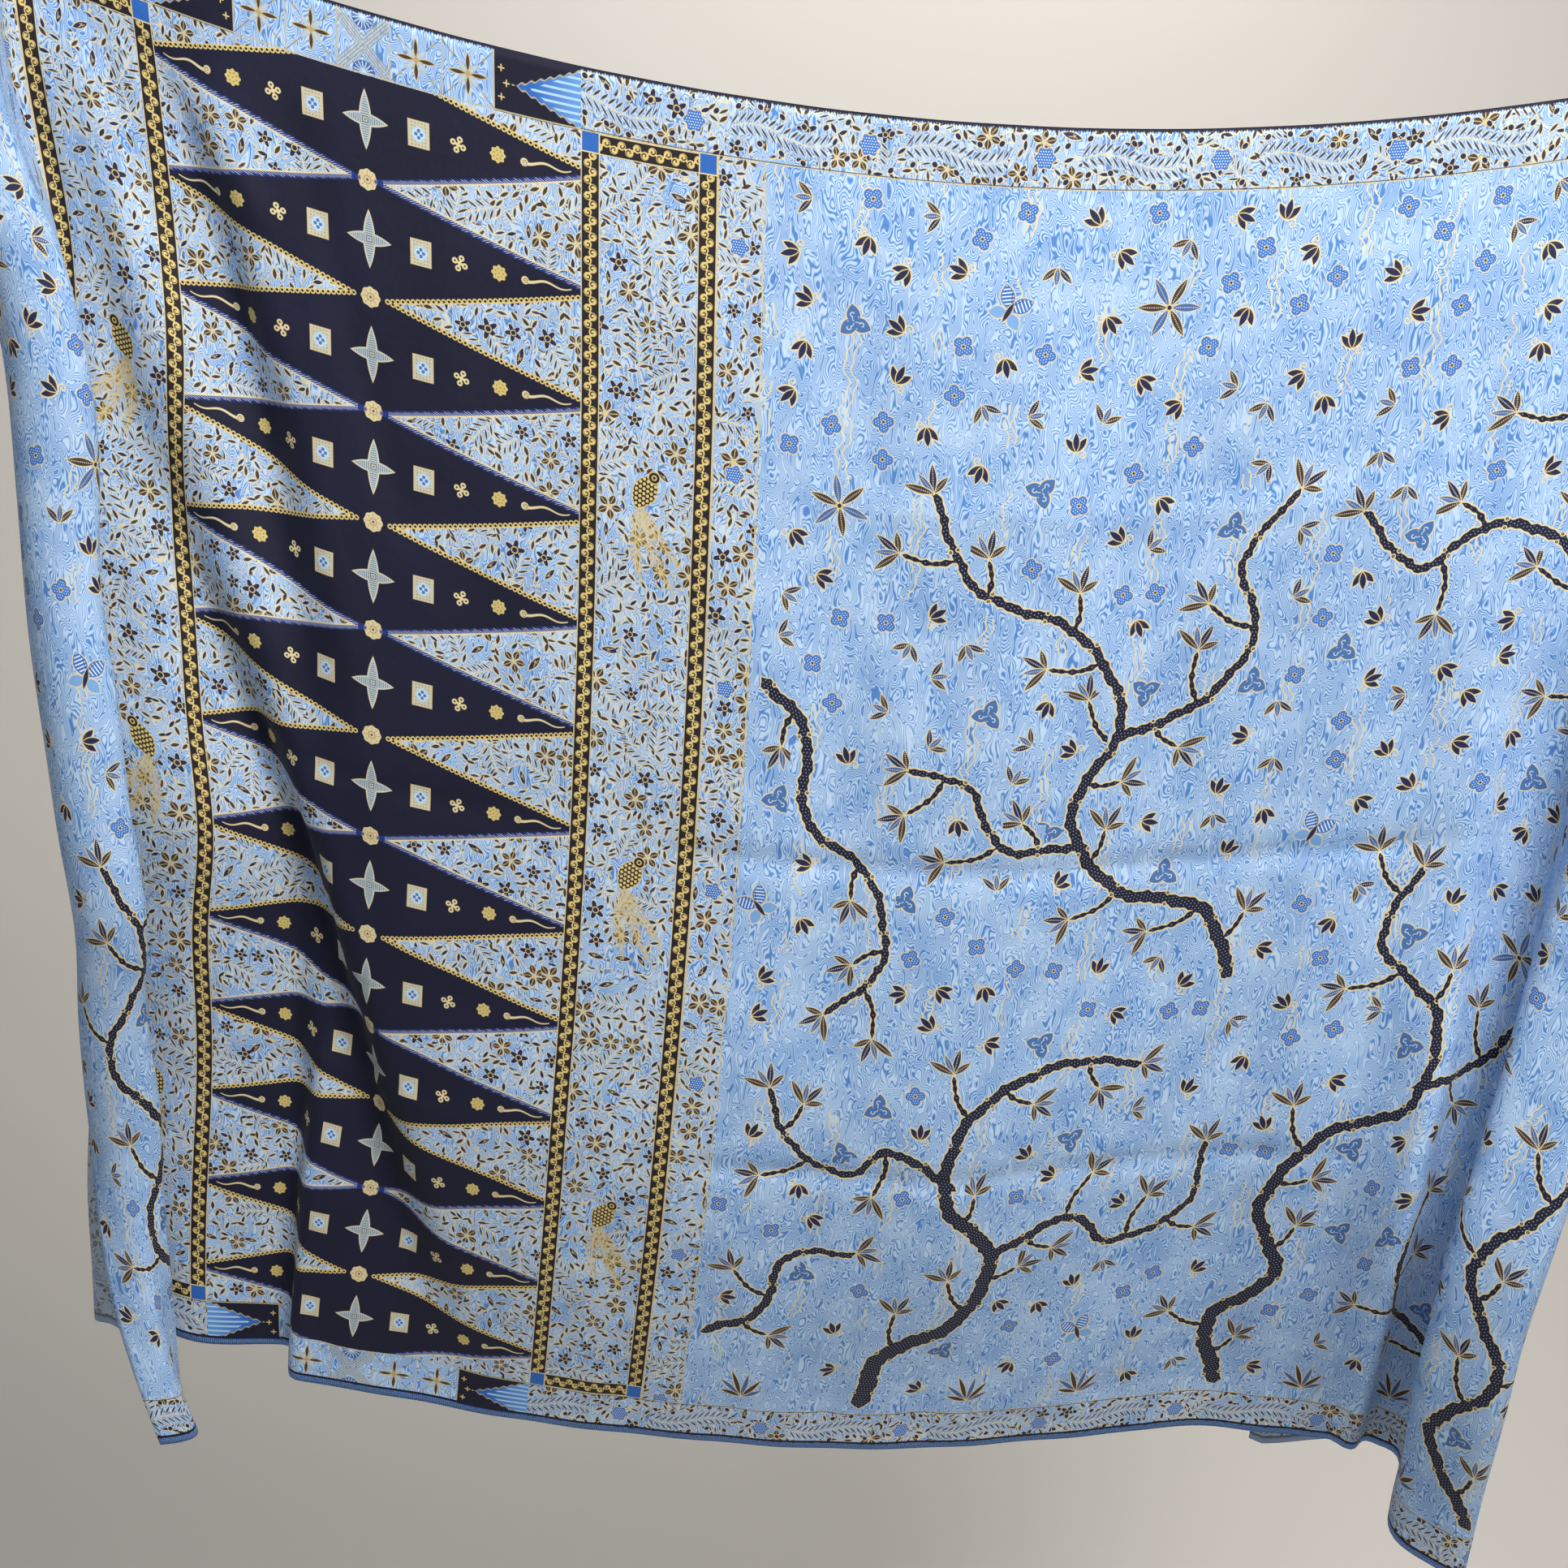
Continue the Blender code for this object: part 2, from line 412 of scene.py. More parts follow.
def noise(x, y, size, detail=1.0, distortion=0.0):
    """Smooth noise about 0, with features of this size in millimetres."""
    tree = x.tree
    place = tree.nodes.new("ShaderNodeCombineXYZ")
    feed(tree, x * (1 / size), place.inputs[0])
    feed(tree, y * (1 / size), place.inputs[1])
    node = tree.nodes.new("ShaderNodeTexNoise")
    node.noise_dimensions = "2D"
    node.inputs["Scale"].default_value = 1.0
    node.inputs["Detail"].default_value = detail
    node.inputs["Roughness"].default_value = 0.4
    node.inputs["Distortion"].default_value = distortion
    tree.links.new(place.outputs[0], node.inputs["Vector"])
    return Field(tree, node.outputs["Fac"]) - 0.5


def scattered(x, y, pitch, looseness):
    """Places strewn a pitch apart: the place seen from the nearest, turned at random, and two chances."""
    tree = x.tree
    place = tree.nodes.new("ShaderNodeCombineXYZ")
    feed(tree, x, place.inputs[0])
    feed(tree, y, place.inputs[1])
    node = tree.nodes.new("ShaderNodeTexVoronoi")
    node.voronoi_dimensions = "2D"
    node.inputs["Scale"].default_value = 1 / pitch
    node.inputs["Randomness"].default_value = looseness
    tree.links.new(place.outputs[0], node.inputs["Vector"])
    centre = tree.nodes.new("ShaderNodeSeparateXYZ")
    tree.links.new(node.outputs["Position"], centre.inputs[0])
    chance = tree.nodes.new("ShaderNodeSeparateColor")
    tree.links.new(node.outputs["Color"], chance.inputs[0])
    dx = x - Field(tree, centre.outputs[0])
    dy = y - Field(tree, centre.outputs[1])
    turn = Field(tree, chance.outputs[0]) * (2 * math.pi)
    c, s = turn.math("COSINE"), turn.math("SINE")
    return dx * c + dy * s, dy * c - dx * s, Field(tree, chance.outputs[1]), Field(tree, chance.outputs[2])


# Colours of the print
PALE = tint(184, 208, 234)
MID = tint(118, 163, 214)
DEEP = tint(68, 118, 186)
NAVY = tint(16, 17, 40)
BLACK_BROWN = tint(32, 26, 30)
GOLD = tint(214, 190, 122)
CREAM = tint(222, 205, 158)
WHITE = tint(224, 230, 234)
BUD = tint(30, 35, 70)
BUD_BROWN = tint(66, 50, 40)
LEAF_PALE = tint(172, 190, 204)
BLUE_FLOWER = tint(50, 110, 188)
STEEL = tint(66, 100, 156)
CLOUD = tint(70, 110, 166)
ROYAL = tint(26, 50, 124)
STAR_GOLD = tint(178, 154, 92)
CORNER = tint(42, 98, 178)
STEM = tint(22, 25, 50)
SELVEDGE = tint(62, 110, 178)
BACK_VEIL = tint(150, 172, 196)


# What each drawing is given: the place in the flat cloth, the place in the figure drawn there, and the place on
# the next stem where two meet
LOCAL = ("Place", "Motif", "Second")


def group(name, colours_in, build):
    """A node group that takes a place on the cloth, in millimetres, and any colours below, and gives a colour."""
    tree = bpy.data.node_groups.new(name, "ShaderNodeTree")
    for given in LOCAL:
        tree.interface.new_socket(given, in_out="INPUT", socket_type="NodeSocketVector")
    for given in colours_in:
        tree.interface.new_socket(given, in_out="INPUT", socket_type="NodeSocketColor")
    tree.interface.new_socket("Colour", in_out="OUTPUT", socket_type="NodeSocketColor")
    start = tree.nodes.new("NodeGroupInput")
    end = tree.nodes.new("NodeGroupOutput")
    places = []
    for given in LOCAL:
        split = tree.nodes.new("ShaderNodeSeparateXYZ")
        tree.links.new(start.outputs[given], split.inputs[0])
        places.append([Field(tree, split.outputs[k]) for k in range(3)])
    colours = [Field(tree, start.outputs[given]) for given in colours_in]
    feed(tree, build(*places, *colours), end.inputs["Colour"])
    return tree


def use(pattern, place, motif=(), colour=None):
    """Places a group in the tree of another field, fed by places of its own."""
    tree = place[0].tree
    node = tree.nodes.new("ShaderNodeGroup")
    node.node_tree = pattern
    for name, given in (("Place", place), ("Motif", motif)):
        local = tree.nodes.new("ShaderNodeCombineXYZ")
        for slot, value in zip(local.inputs, given):
            feed(tree, value, slot)
        tree.links.new(local.outputs[0], node.inputs[name])
    if colour:
        feed(tree, colour, node.inputs["Ground"])
    return Field(tree, node.outputs["Colour"])


def wavy_ground(place, motif, second):
    """Fine winding lines of pale and deep blue, drawn close together and mostly upright."""
    u, v, _ = place
    bend = noise(u, v * 0.40, 8.6, 0.0, 0.8)
    slow = noise(u, v, 31)
    lines = bend * 74 + slow * 12 + u * 0.9
    stroke = lines.wave(math.pi * 2)
    colour = paint(MID, PALE, inside(-stroke - slow * 2.0 - 0.1, 0.9))
    return paint(colour, DEEP, inside(stroke + 0.60 + slow, 0.28) * 0.8)


def hanging_threads(place, motif, second, ground):
    """Pale wavy threads that hang down here and there, two side by side."""
    u, v, _ = place
    wobble = v.wave(31) * 2.2 + v.wave(13.7) * 1.1
    across = (u + wobble + v * 0.05).cell(57)
    shown = noise(u, v, 44).above(0.03)
    return paint(ground, CREAM, inside(abs(abs(across) - 2.6) - 0.5, 0.25) * shown)


def fern(along, off, pitch, reach, width):
    """Distance to slanting pairs of leaves on both sides of a rib. Off is the distance from the rib."""
    side = abs(off)
    return leaf(side, (along - side * 0.8).cell(pitch), reach, width).least(side - 0.4)


def flower_field(place, motif, second, ground):
    """Close-set small leaves, stems, ferns and flowers with drawn cream lines."""
    u, v, _ = place
    stems = abs(noise(u, v, 11, 0.0, 0.5).cell(0.13)) * 38 - 0.42
    colour = paint(ground, CREAM, inside(stems, 0.3) * 0.9)
    x, y, first, other = scattered(u, v, 8.0, 0.85)
    blade = leaf(x + 4.4, y, 8.8, 4.2)
    colour = paint(colour, CREAM, inside(blade))
    colour = paint(colour, LEAF_PALE, inside(blade + 0.7))
    heart = leaf(x + 3.5, y, 7.2, 1.5 + other * 1.2)
    colour = paint(colour, paint(BUD_BROWN, BUD, first.above(0.6)), inside(heart))
    x, y, first, other = scattered(u + 31, v, 21, 0.75)
    size = 1.30 - other * 0.50
    x, y = x * size, y * size
    core = hypot(x, y)
    there = other.below(0.85)
    colour = paint(colour, ground, inside(core - 9.4, 0.8) * there)
    frond = fern(y, x, 5.4, 8.4, 3.5)
    ferns = first.below(0.30) * inside(abs(y) - 10.0) * there
    colour = paint(colour, CREAM, inside(frond) * ferns)
    colour = paint(colour, LEAF_PALE, inside(frond + 0.5) * ferns)
    colour = paint(colour, BUD_BROWN, inside(frond + 0.85) * ferns)
    out, across = round_of(x, y, 5)
    petal = leaf(out - 1.6, across, 7.4, 4.8)
    fan_x, fan_y = turned(abs(x), y + 5.0, 40)
    fan = leaf(fan_y, fan_x, 12.0, 4.6).least(leaf(y + 5.0, x, 12.5, 4.0))
    petal = petal + (fan - petal) * first.below(0.52)
    bloom = first.above(0.30) * first.below(0.72) * there
    colour = paint(colour, CREAM, inside(petal - 0.5) * bloom)
    colour = paint(colour, paint(BUD_BROWN, BUD, first.below(0.52)), inside(petal + 0.1) * bloom)
    colour = paint(colour, CREAM, inside(abs(across) - 0.25, 0.2) * inside(petal + 0.8) * bloom * 0.7)
    colour = paint(colour, GOLD, inside(core - 1.5) * bloom * first.above(0.52))
    cluster = rosette(x, y, 6.6, 5, 1.9)
    clusters = first.above(0.72) * there
    colour = paint(colour, CREAM, inside(cluster - 0.6) * clusters)
    colour = paint(colour, BUD, inside(cluster) * clusters)
    return paint(colour, GOLD, inside(abs(core - 2.0) - 0.3) * clusters)


def curl(x, y, radius, pitch, turn):
    """Distance to a spiral line inside a round of this radius."""
    r = hypot(x, y)
    return (abs((r - angle(x, y) * (turn * pitch / (2 * math.pi))).cell(pitch)) - pitch * 0.22).most(r - radius)


def running_chain(place, motif, second):
    """A dark band with a gold running scroll that curls to both sides. Motif x is across the band, y along it."""
    across, along, _ = motif
    unit = 10.4
    colour = paint(BLACK_BROWN, GOLD, inside(abs(across - along.wave(unit) * 1.7) - 0.95))
    for side in (-1, 1):
        eye_x = across - side * 1.7
        eye_y = (along - side * unit / 4).cell(unit)
        r = hypot(eye_x, eye_y)
        colour = paint(colour, GOLD, inside(r - 2.7))
        colour = paint(colour, BLACK_BROWN, inside(curl(eye_x * side, eye_y * side, 2.4, 2.6, 1) + 0.12, 0.2))
    return paint(colour, CREAM, inside(abs(abs(across) - 6.2) - 0.32))


def white_dots(colour, x, y, distance, pitch=1.75, strength=1.0):
    """White wax dots in rows inside a shape."""
    row = (y / pitch).math("ROUND").math("FLOORED_MODULO", 2.0) * (pitch / 2)
    dots = inside(hypot((x + row).cell(pitch), y.cell(pitch)) - 0.40, 0.2)
    return paint(colour, WHITE, dots * inside(distance) * strength)


def head_motifs(u, v, navy):
    """The row of figures across the navy ground at each star."""
    side = abs(u)
    star_v = (v - STAR_ROW).cell(ROW)
    rose_v = (v - ROSE_ROW).cell(ROW)
    star = leaf(u + 14.5, star_v, 29, 7.4).least(leaf(star_v + 18, u, 36, 7.4))
    colour = outlined(navy, star, tint(176, 188, 192), CREAM, 0.45)
    stripes = abs(u).most(abs(star_v)).wave(1.5)
    colour = paint(colour, tint(92, 104, 124), inside(star + 0.7) * inside(0.1 - stripes, 0.3) * 0.8)
    colour = paint(colour, tint(120, 112, 92), inside(abs(box(u, star_v, 1.9, 1.9)) - 0.35))
    rose = rosette(u, rose_v, 6.6, 8, 0.32)
    colour = outlined(colour, rose, tint(210, 194, 150), CREAM, 0.3)
    rays = (angle(u, rose_v) * 4).math("SINE")
    ring = abs(hypot(u, rose_v) - 2.4) - 0.3
    lines = inside((abs(rays) - 0.16) * 3).math("MULTIPLY", inside(2.4 - hypot(u, rose_v)), clamp=True)
    colour = paint(colour, tint(140, 118, 82), lines.most(inside(ring)) * inside(rose + 0.9) * 0.85)
    colour = paint(colour, tint(92, 80, 72), inside(hypot(u, rose_v) - 0.9))
    tile_u = side - 36
    tile = box(tile_u, star_v, 7.0, 8.2)
    colour = outlined(colour, tile, tint(196, 190, 166), GOLD, 0.35)
    beads = hypot(tile_u.cell(2.3), star_v.cell(2.3)) - 0.6
    colour = paint(colour, tint(122, 118, 96), inside(beads) * inside(tile + 0.5) * 0.6)
    colour = paint(colour, tint(176, 200, 214), inside(hypot(tile_u, star_v) - 5.0))
    cross = hypot(abs(tile_u) - 1.9, star_v).least(hypot(tile_u, abs(star_v) - 2.2)) - 1.3
    colour = outlined(colour, cross, tint(70, 116, 180), tint(212, 224, 230), 0.6)
    clover_u = side - 63
    spin_x = clover_u * 0.94 + star_v * 0.34
    spin_y = star_v * 0.94 - clover_u * 0.34
    far = abs(spin_x).most(abs(spin_y))
    near = abs(spin_x).least(abs(spin_y))
    clover = (abs(hypot(far - 3.6, near) - 1.35) - 0.62).least((near - 0.8).most(far - 3.0))
    colour = paint(colour, tint(216, 200, 152), inside(clover))
    disc_u = side - 90
    disc = rosette(disc_u, star_v, 5.2, 8, 0.5)
    colour = outlined(colour, disc, tint(200, 180, 112), GOLD, 0.2)
    out, across = round_of(disc_u, star_v, 7)
    dots = hypot(out - 2.8, across).least(hypot(disc_u, star_v)) - 0.5
    colour = paint(colour, tint(120, 98, 60), inside(dots) * 0.85)
    tail_u = side - 108
    head = hypot(tail_u, star_v - 0.6) - 2.6
    tail = abs(star_v - (tail_u + 4).wave(24) * 1.3) - (1.05 - tail_u * 0.022)
    tail = tail.most(1.0 - tail_u, tail_u - 32)
    colour = paint(colour, tint(216, 200, 156), inside(head.least(tail)))
    return paint(colour, BUD_BROWN, inside(curl(tail_u, star_v - 0.6, 2.0, 1.6, 1), 0.2) * 0.7)




def head_navy(place, motif, second, ground):
    """The navy ground of the head panel and its figures."""
    u, v, _ = place
    navy = paint(NAVY, tint(22, 24, 52), inside(-noise(u, v, 60), 0.3) * 0.6)
    return head_motifs(u, v, navy)


def head_panel(place, motif, second, ground):
    """The edges of the facing triangles: a gold link chain on every other one, and a blue fringe on the rest."""
    u, v, _ = place
    colour = use(HEAD_NAVY, place, (), ground)
    side = abs(u)
    rose_v = abs((v - ROSE_ROW).cell(ROW))
    cosine, sine = math.cos(SLOPE), math.sin(SLOPE)
    edge = rose_v * cosine - (side - APEX) * sine
    along = (side - APEX) * cosine + rose_v * sine
    gold_row = ((v - STAR_ROW) / ROW).math("FLOOR").math("FLOORED_MODULO", 2.0).above(0.5)
    fringe_row = 1.0 - gold_row
    slant = along + edge * 1.3
    ragged = slant.wave(2.9) * 0.5 + slant.wave(7.3) * 0.5
    threads = inside(abs(slant.cell(2.1)) - 0.34, 0.25)
    colour = paint(colour, ROYAL, inside(edge - 2.9, 0.9) * fringe_row * along.above(-7.0) * 0.9)
    colour = paint(colour, WHITE, threads * inside(edge - 2.2 - ragged, 0.4) * fringe_row * along.above(-1.0) * 0.6)
    field = use(FLOWER_FIELD, place, (), ground)
    field = paint(field, WHITE, threads * inside(-1.6 - edge - ragged * 0.6, 0.4) * fringe_row * 0.6)
    field = paint(field, CREAM, inside(abs(edge + 0.45) - 0.5) * fringe_row)
    colour = paint(colour, field, inside(edge))
    chain = (hypot(along.cell(3.7), edge) - 1.8).least(abs(edge + 1.0) - 0.5)
    colour = paint(colour, GOLD, inside(chain, 0.2) * gold_row * along.above(-2.0))
    return paint(colour, BLACK_BROWN, inside(hypot(along.cell(3.7) * 0.85, edge) - 0.85, 0.2) * gold_row)


def songbird(colour, x, y):
    """A small bird with gold scales and long tail feathers."""
    x, y = x * 0.87, y * 0.87
    for lean, long in ((-14, 50), (4, 56), (20, 46)):
        px, py = turned(x + 2, y + 4, 180 + lean)
        px = px + py * py * 0.006
        feather = leaf(py, px, long, 8.0)
        colour = paint(colour, STAR_GOLD, inside(feather) * 0.3)
        colour = paint(colour, GOLD, inside(fern(py, px, 3.6, 5.0, 1.2).most(feather)) * 0.85)
    px, py = turned(x, y, -28)
    body = leaf(py + 10.5, px, 24, 14)
    net = hypot((px + (py / 2.6).math("ROUND").math("FLOORED_MODULO", 2.0) * 1.3).cell(2.6), py.cell(2.6)) - 0.95
    scales = paint(BLACK_BROWN, GOLD, inside(net, 0.2))
    colour = outlined(colour, body, scales, GOLD, 0.6)
    head = hypot(px - 0.6, py - 12) - 3.3
    colour = outlined(colour, head, BLACK_BROWN, GOLD, 0.6)
    return paint(colour, GOLD, inside(abs(hypot(px - 0.6, py - 12) - 1.3) - 0.35, 0.2))


def side_bands(place, motif, second, ground):
    """The two chain bands, the vine band with its birds between them, and the vine strip outside them."""
    u, v, _ = place
    side = abs(u)
    colour = use(FLOWER_FIELD, place, (), ground)
    bird_v = -(v - 271).cell(280)
    colour = paint(colour, ground, inside(hypot(side - 192, bird_v * 0.9) - 13, 0.8))
    colour = songbird(colour, side - 192, bird_v)
    end = v.least(HEIGHT * 1000 - v) - BORDER * 1000
    spot = rosette(side - 255, (v - 96).cell(152), 6.8, 5, 0.9)
    colour = outlined(colour, spot, BLUE_FLOWER, CREAM, 0.7)
    colour = white_dots(colour, side, v, spot + 0.8)
    rules = abs(side - 240.0).least(abs(side - 271.2)) - 0.35
    colour = paint(colour, GOLD, inside(rules))
    level = (end - 13.0).most(side - 239.5).below(0.0)
    nearest = (side - 153) + side.above(193) * -80.0
    across = nearest + (end - 6.5 - nearest) * level
    along = v + (side - v) * level
    bands = (abs(nearest) - 6.5).least((side - 239.5).most(end - 13.0))
    chain = use(RUNNING_CHAIN, place, (across, along))
    corner = (abs(nearest) - 6.5).most(end - 13.0)
    chain = paint(chain, paint(CREAM, CORNER, inside(corner + 0.8)), corner.below(0.0))
    return paint(colour, chain, inside(bands))


def edge_lines(colour, u, v):
    """The woven upper edge, dark, thin and a little ragged, and the lower one, blue with pale flecks."""
    ragged = u.wave(1.9) * 0.4 + u.wave(5.3) * 0.3
    colour = paint(colour, NAVY, inside(v - 2.4 - ragged, 0.6))
    low = HEIGHT * 1000 - v
    colour = paint(colour, NAVY, inside(abs(low - 6.8) - 1.2))
    flecks = inside(abs(u.cell(1.6)) - 0.3, 0.25) * inside(abs(low - 2.6 - ragged) - 1.6) * 0.5
    return paint(colour, paint(SELVEDGE, PALE, flecks), inside(low - 5.4))


def flower_border(place, motif, second, ground):
    """Fern sprays, dark buds and dotted blue flowers along the upper and lower edges."""
    u, v, _ = place
    colour = use(FLOWER_FIELD, place, (), ground)
    low = v.least(HEIGHT * 1000 - v)
    rib_u = (u - 46).cell(118)
    rib = low - 21 - rib_u.wave(76) * 4.5
    garland = fern(rib_u, rib, 5.0, 8.6, 3.3)
    zone_of = inside(abs(rib_u) - 34)
    colour = paint(colour, ground, inside(abs(rib) - 8.8, 0.6) * zone_of)
    colour = paint(colour, CREAM, inside(garland) * zone_of)
    colour = paint(colour, MID, inside(garland + 0.45) * zone_of)
    colour = paint(colour, BUD_BROWN, inside(garland + 0.85) * zone_of)
    berry = hypot((u - 46).cell(14.75), abs(rib) - 11.5) - 1.9
    colour = paint(colour, CREAM, inside(berry - 0.5))
    colour = paint(colour, BUD, inside(berry))
    spot = rosette((u + 13).cell(118), low - 20, 7.4, 6, 0.8)
    colour = outlined(colour, spot, BLUE_FLOWER, CREAM, 0.7)
    colour = white_dots(colour, u, v, spot + 0.8)
    colour = paint(colour, GOLD, inside(abs(low - 39.6) - 0.35) * 0.8)
    colour = paint(colour, NAVY, inside(abs(low - 38.9) - 0.35) * 0.8)
    return edge_lines(colour, u, v)


def head_border(place, motif, second, ground):
    """Boxes along the ends of the head panel: a crossed one, then stars, and a tongue of flame at each side."""
    u, v, _ = place
    side = abs(u)
    low = v.least(HEIGHT * 1000 - v)
    middle = low - 21.5
    star_u = (side - 18).math("MODULO", 35.0) - 17.5
    diagonal = abs(star_u) - abs(middle)
    colour = paint(ground, BUD_BROWN, inside(abs(diagonal) - 0.3) * 0.9)
    out, across = round_of(star_u, middle, 4)
    turn_x, turn_y = turned(star_u, middle, 45)
    pale_out, pale_across = round_of(turn_x, turn_y, 4)
    colour = outlined(colour, leaf(pale_out - 1.0, pale_across, 8.5, 3.0), LEAF_PALE, STAR_GOLD, 0.3)
    colour = outlined(colour, leaf(out - 1.0, across, 12.5, 3.0), STAR_GOLD, CREAM, 0.2)
    colour = paint(colour, BUD_BROWN, inside(leaf(out - 2.0, across, 10.4, 2.3)))
    knots = hypot(abs(hypot(star_u, middle) - 15.5) - 0.8, diagonal) - 1.0
    colour = paint(colour, STAR_GOLD, inside(knots.least(hypot(star_u, middle) - 1.8)))
    fan = hypot(u, abs(middle) - 17)
    crossing = paint(ground, ROYAL, inside(fan - 7.5) * 0.8)
    rays = abs(angle(u, abs(middle) - 17).cell(0.42)) * fan - 0.35
    crossing = paint(crossing, PALE, inside(rays) * inside(fan - 7.0))
    lines = abs(side - abs(middle))
    crossing = paint(crossing, tint(170, 180, 182), inside(lines - 5.2) * 0.55)
    crossing = paint(crossing, tint(136, 122, 86), inside(abs(lines.cell(2.6)) - 0.3, 0.25) * inside(lines - 5.6))
    colour = paint(colour, crossing, side.below(18))
    flame_u = 146.5 - side
    outline = abs(middle) - 17.5 * (1.0 - flame_u / 43) - (flame_u + abs(middle) * 0.3).wave(5.6) * 0.7
    fingers = abs(middle.cell(4.4)) - 0.75
    fingers = fingers.most(flame_u - 34 + abs(middle) * 1.9)
    flame = paint(paint(CORNER, tint(96, 146, 208), inside(flame_u - 18, 14)), tint(170, 206, 236), inside(fingers))
    navy_box = outlined(NAVY, outline, flame, tint(176, 164, 138), 0.9)
    star_x, star_y = abs(flame_u - 50 + (abs(middle) - 9).above(-4.0) * -3.5), abs(abs(middle) - 9)
    star_y = star_y.least(abs(middle))
    tiny = (star_x.least(star_y) - 0.4).most(star_x + star_y - 2.4)
    navy_box = paint(navy_box, GOLD, inside(tiny, 0.2))
    colour = paint(colour, navy_box, side.above(88))
    frames = abs(side - 18).least(abs(side - 53), abs(side - 88), abs(low - 39.2)) - 0.42
    colour = paint(colour, tint(190, 176, 136), inside(frames))
    return edge_lines(colour, u, v)


def bud(place, motif, second, ground):
    """A dark tulip bud with a cream outline and a curled tendril. Motif y points up the bud."""
    x, y = motif[0], motif[1]
    petals = hypot(x, y + 2.0) - 3.3
    for lean in (-38, 38):
        px, py = turned(x, y + 5.4, lean)
        petals = petals.least(leaf(py, px, 12.0, 4.4))
    tendril = curl(x - 4.4, y + 7.6, 3.4, 2.4, 1)
    colour = paint(ground, CREAM, inside(tendril, 0.2) * 0.9)
    colour = outlined(colour, petals, BUD, CREAM, 1.05)
    colour = paint(colour, BUD_BROWN, inside(petals + 0.3) * inside(y + 1.4, 1.2))
    return outlined(colour, leaf(y + 5.0, x, 13.0, 4.4), BUD, CREAM, 0.6)


def dotted_blossom(place, motif, second, ground):
    """A blue flower of four lobes with white dots."""
    x, y, _ = motif
    out, across = round_of(x, y, 4)
    shape = hypot(out - 4.0, across) - 3.5
    colour = outlined(ground, shape, BLUE_FLOWER, CREAM, 0.7)
    colour = white_dots(colour, x, y, shape + 0.8, 1.75, 0.8)
    return outlined(colour, hypot(x, y) - 0.9, BUD, GOLD, 0.6)


def leaves(colour, x, y, blades):
    """Pointed leaves that fan out of the place's foot: lean, length, width and colour of each."""
    for lean, long, wide, fill in blades:
        px, py = turned(x, y, lean)
        blade = leaf(py, px, long, wide)
        colour = outlined(colour, blade, fill, CREAM, 0.65)
        vein = hypot(px, py.cell(1.5)) - 0.42
        colour = paint(colour, tint(184, 184, 180), inside(vein, 0.2) * inside(blade + 0.6))
    return colour


def leaf_pair(place, motif, second, ground):
    """Two slim dark leaves and a blue one from one point."""
    x, y, _ = motif
    return leaves(ground, x, y + 6.5, ((-50, 13.5, 3.9, BUD_BROWN), (44, 14, 3.9, BUD), (-4, 12, 3.6, STEEL)))


SPRAY = ((-66, 15, 4.2, BUD_BROWN), (-22, 20, 4.8, BUD), (14, 17, 3.8, STEEL), (50, 21, 4.8, BUD_BROWN))
SPRAY_FOOT = 9.5


def leaf_spray(place, motif, second, ground):
    """Long dark leaves that fan out of a shoot's tip."""
    x, y, _ = motif
    return leaves(ground, x, y + SPRAY_FOOT, SPRAY)


def star_flower(place, motif, second, ground):
    """Six long leaves about a gold ring, dark and blue by turns."""
    x, y, _ = motif
    out, across = round_of(x, y, 6)
    blade = leaf(out - 1.5, across, 20, 5.0)
    colour = outlined(ground, blade, BUD_BROWN, CREAM, 0.7)
    blue_out, blue_across = round_of(x, y, 3)
    colour = paint(colour, STEEL, inside(leaf(blue_out - 1.5, blue_across, 20, 5.0)))
    vein = hypot(across, out.cell(1.5)) - 0.42
    colour = paint(colour, tint(184, 186, 184), inside(vein, 0.2) * inside(blade + 0.6))
    return outlined(colour, hypot(x, y) - 1.5, BUD, GOLD, 1.0)


def cloud_flower(place, motif, second, ground):
    """A steel-blue three-cornered cloud with white curls."""
    x, y, _ = motif
    out, across = round_of(x, y, 3)
    shape = leaf(out + 2.6, across, 14.8, 9.4).least(hypot(x, y) - 4.6)
    colour = outlined(ground, shape, CLOUD, CREAM, 0.95)
    ring = abs(hypot(out - 5.2, across - 0.6) - 1.4) - 0.30
    stroke = abs(hypot(out - 2.4, across + 1.2) - 2.2) - 0.28
    colour = paint(colour, WHITE, inside(ring, 0.2) * (out + across * 1.6).above(4.6) * 0.85)
    return paint(colour, WHITE, inside(stroke, 0.2) * out.below(3.6) * (out * 1.8 + across).above(1.4) * 0.7)


def butterfly(place, motif, second, ground):
    """A small butterfly with striped wings."""
    x, y, _ = motif
    side = abs(x)
    px, py = turned(side, y - 0.5, 52)
    fore = leaf(px - 0.6, py, 17.5, 10.0)
    qx, qy = turned(side, y + 0.5, -30)
    hind = leaf(qx - 0.6, qy, 13, 8.0)
    colour = outlined(ground, hind, MID, CREAM, 0.8)
    colour = outlined(colour, fore, BLUE_FLOWER, CREAM, 0.8)
    colour = paint(colour, WHITE, inside(abs(px.cell(2.4)) - 0.4, 0.2) * inside(fore + 0.9))
    body = leaf(y + 8, x, 15, 3.4)
    feelers = (abs(side - (y - 4) * 0.6) - 0.3).most(4.5 - y, y - 12)
    colour = paint(colour, BUD_BROWN, inside(feelers, 0.2))
    return outlined(colour, body, BUD, GOLD, 0.45)


